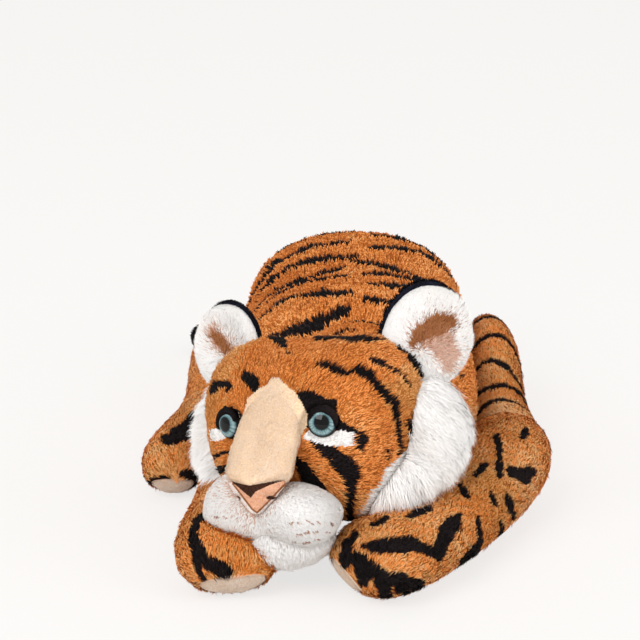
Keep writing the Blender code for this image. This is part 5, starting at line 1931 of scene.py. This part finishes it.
for side, name in SIDES:
    out = turned((side * 0.75, 0.5, -0.75))
    dress(
        f"ruff_pile_{name}", ruffs[side], "head", count=60000, length=0.0145, width=0.0007,
        lift=13, flow=hanging(out, ruff_low), colours_at=all_of("white"), seed=106 + side, trim=ruff_trim,
        beside=(
            "head_cover", "muzzle_cover", "chin_cover", f"ear_lining_{name}_cover", "body_cover",
            "neck_cover",
        ),
    )
    middle = np.array(ear_frame(side).translation) + turned((0, 0, -EAR_DROP_OF_CENTRE))
    dress(
        f"ear_lining_pile_{name}", linings[side], "head", count=40000, length=0.0052,
        width=0.0005, lift=16, flow=away_from(middle), colours_at=ear_colours, seed=110 + side,
        trim=ear_trim(side), beside=("head_cover",),
        half=lambda points, side=side: in_frame(points, ear_frame(side))[:, 1] < EAR_SPLIT - PARTING,
    )
    dress(
        f"ear_back_pile_{name}", ear_backs[side], "head", count=14000, length=0.0040,
        width=0.0007, lift=18, flow=away_from(middle), colours_at=all_of("navy"), seed=114 + side,
        beside=("head_cover",),
        half=lambda points, side=side: in_frame(points, ear_frame(side))[:, 1] > EAR_SPLIT + BACK_PARTING,
    )
for index, limb in enumerate(LIMBS):
    along = np.array(limb.frame)[:3, 1] * -1.0
    covering = ["body_cover", "head_cover", "muzzle_cover", "chin_cover"]
    covering.append("ruff_cover_left" if limb.side > 0 else "ruff_cover_right")
    dress(
        f"{limb.name}_pile", limb_covers[limb.name], limb.name, count=56000, length=0.0060,
        width=0.0008, lift=13, flow=constant(along + 0.25 * DOWN), colours_at=limb_paint[limb.name],
        seed=120 + index, beside=covering, margin=LEG_MARGIN,
        half=lambda points, limb=limb: ahead_of_sole(points, limb) < -PARTING,
    )
    dress(
        f"{soles[limb.name].name}_pile", soles[limb.name], limb.name, count=9000,
        length=0.0022, width=0.0006, lift=14, flow=constant(-along), colours_at=all_of("sole"),
        seed=140 + index, beside=covering[1:], margin=LEG_MARGIN,
        half=lambda points, limb=limb: ahead_of_sole(points, limb) > PARTING,
    )
dress(
    "neck_pile", neck, "body", count=26000, length=0.0060, width=0.0009, lift=14,
    flow=constant((0, 1, 0.3)), colours_at=neck_colours, seed=132, beside=("body_cover",),
)
dress(
    "tail_pile", tail, "tail", count=22000, length=0.0055, width=0.0009, lift=16,
    flow=constant((-0.6, 0.5, 0)), colours_at=tail_colours, seed=130, beside=("body_cover",),
)
dress(
    "body_pile", body, "body", count=66000, length=0.0085, width=0.0014, lift=14,
    flow=constant((0, 1, -0.25)), colours_at=body_colours, seed=131,
    beside=(
        "head_cover", "ruff_cover_left", "ruff_cover_right", "tail_cover",
        *[cover.name for cover in limb_covers.values()],
    ),
)

# Camera, floor and light

lens = bpy.data.cameras.new("camera")
lens.lens = LENS
lens.sensor_width = SENSOR
camera = bpy.data.objects.new("camera", lens)
camera.location = CAMERA_PLACE
camera.rotation_euler = (math.radians(90 - VIEW_ELEVATION), 0, 0)
bpy.context.scene.collection.objects.link(camera)
bpy.context.scene.camera = camera

floor_shape = bmesh.new()
bmesh.ops.create_grid(floor_shape, x_segments=1, y_segments=1, size=12.0)
floor_mesh = bpy.data.meshes.new("floor")
floor_shape.to_mesh(floor_mesh)
floor_shape.free()
floor = added("floor", floor_mesh)


FLOOR_GLOW = 0.78  # the share of its own light that the camera sees on the floor


def painted_floor():
    """Matt white board, lit so evenly that it reads as paper and keeps a faint shadow."""
    made, tree, shader = finish_of("matt_white_board", Base_Color=linear("#F4F2F0"), Roughness=0.9)
    shader.inputs["Specular IOR Level"].default_value = 0.0
    place = own_place(tree)
    bumped(tree, shader, noise(tree, place, 400.0, 2.0), Strength=0.02)
    glow = node(tree, "ShaderNodeEmission", {"Color": linear("#FBF9F7"), "Strength": 1.0})
    seen = node(tree, "ShaderNodeLightPath").outputs["Is Camera Ray"]
    share = node(tree, "ShaderNodeMath", {0: seen, 1: FLOOR_GLOW}, operation="MULTIPLY")
    mixed = node(
        tree, "ShaderNodeMixShader",
        {"Fac": share.outputs[0], 1: shader.outputs["BSDF"], 2: glow.outputs["Emission"]},
    )
    tree.links.new(mixed.outputs["Shader"], tree.nodes["Material Output"].inputs["Surface"])
    return made


floor.data.materials.append(painted_floor())

STUDIO_COLOUR = (1.0, 0.995, 0.985, 1.0)
STUDIO_STRENGTH = 0.72
world = bpy.data.worlds.new("studio")
world.use_nodes = True
background = world.node_tree.nodes["Background"]
background.inputs["Color"].default_value = STUDIO_COLOUR
background.inputs["Strength"].default_value = STUDIO_STRENGTH
bpy.context.scene.world = world


def soft_box(name, place, aim, size, power):
    """A rectangular studio lamp. Power is in watts."""
    lamp = bpy.data.lights.new(name, "AREA")
    lamp.shape = "RECTANGLE"
    lamp.size, lamp.size_y = size
    lamp.energy = power
    holder = bpy.data.objects.new(name, lamp)
    holder.location = place
    holder.rotation_euler = (Vector(aim) - Vector(place)).to_track_quat("-Z", "Y").to_euler()
    bpy.context.scene.collection.objects.link(holder)


soft_box("box_above_left", (-1.9, -3.2, 2.9), aim=(0, -0.1, 0.05), size=(2.4, 2.4), power=112)
soft_box("box_right", (2.6, -1.9, 1.8), aim=(0, -0.1, 0.08), size=(1.8, 2.4), power=36)
bpy.context.scene.view_settings.view_transform = "Standard"
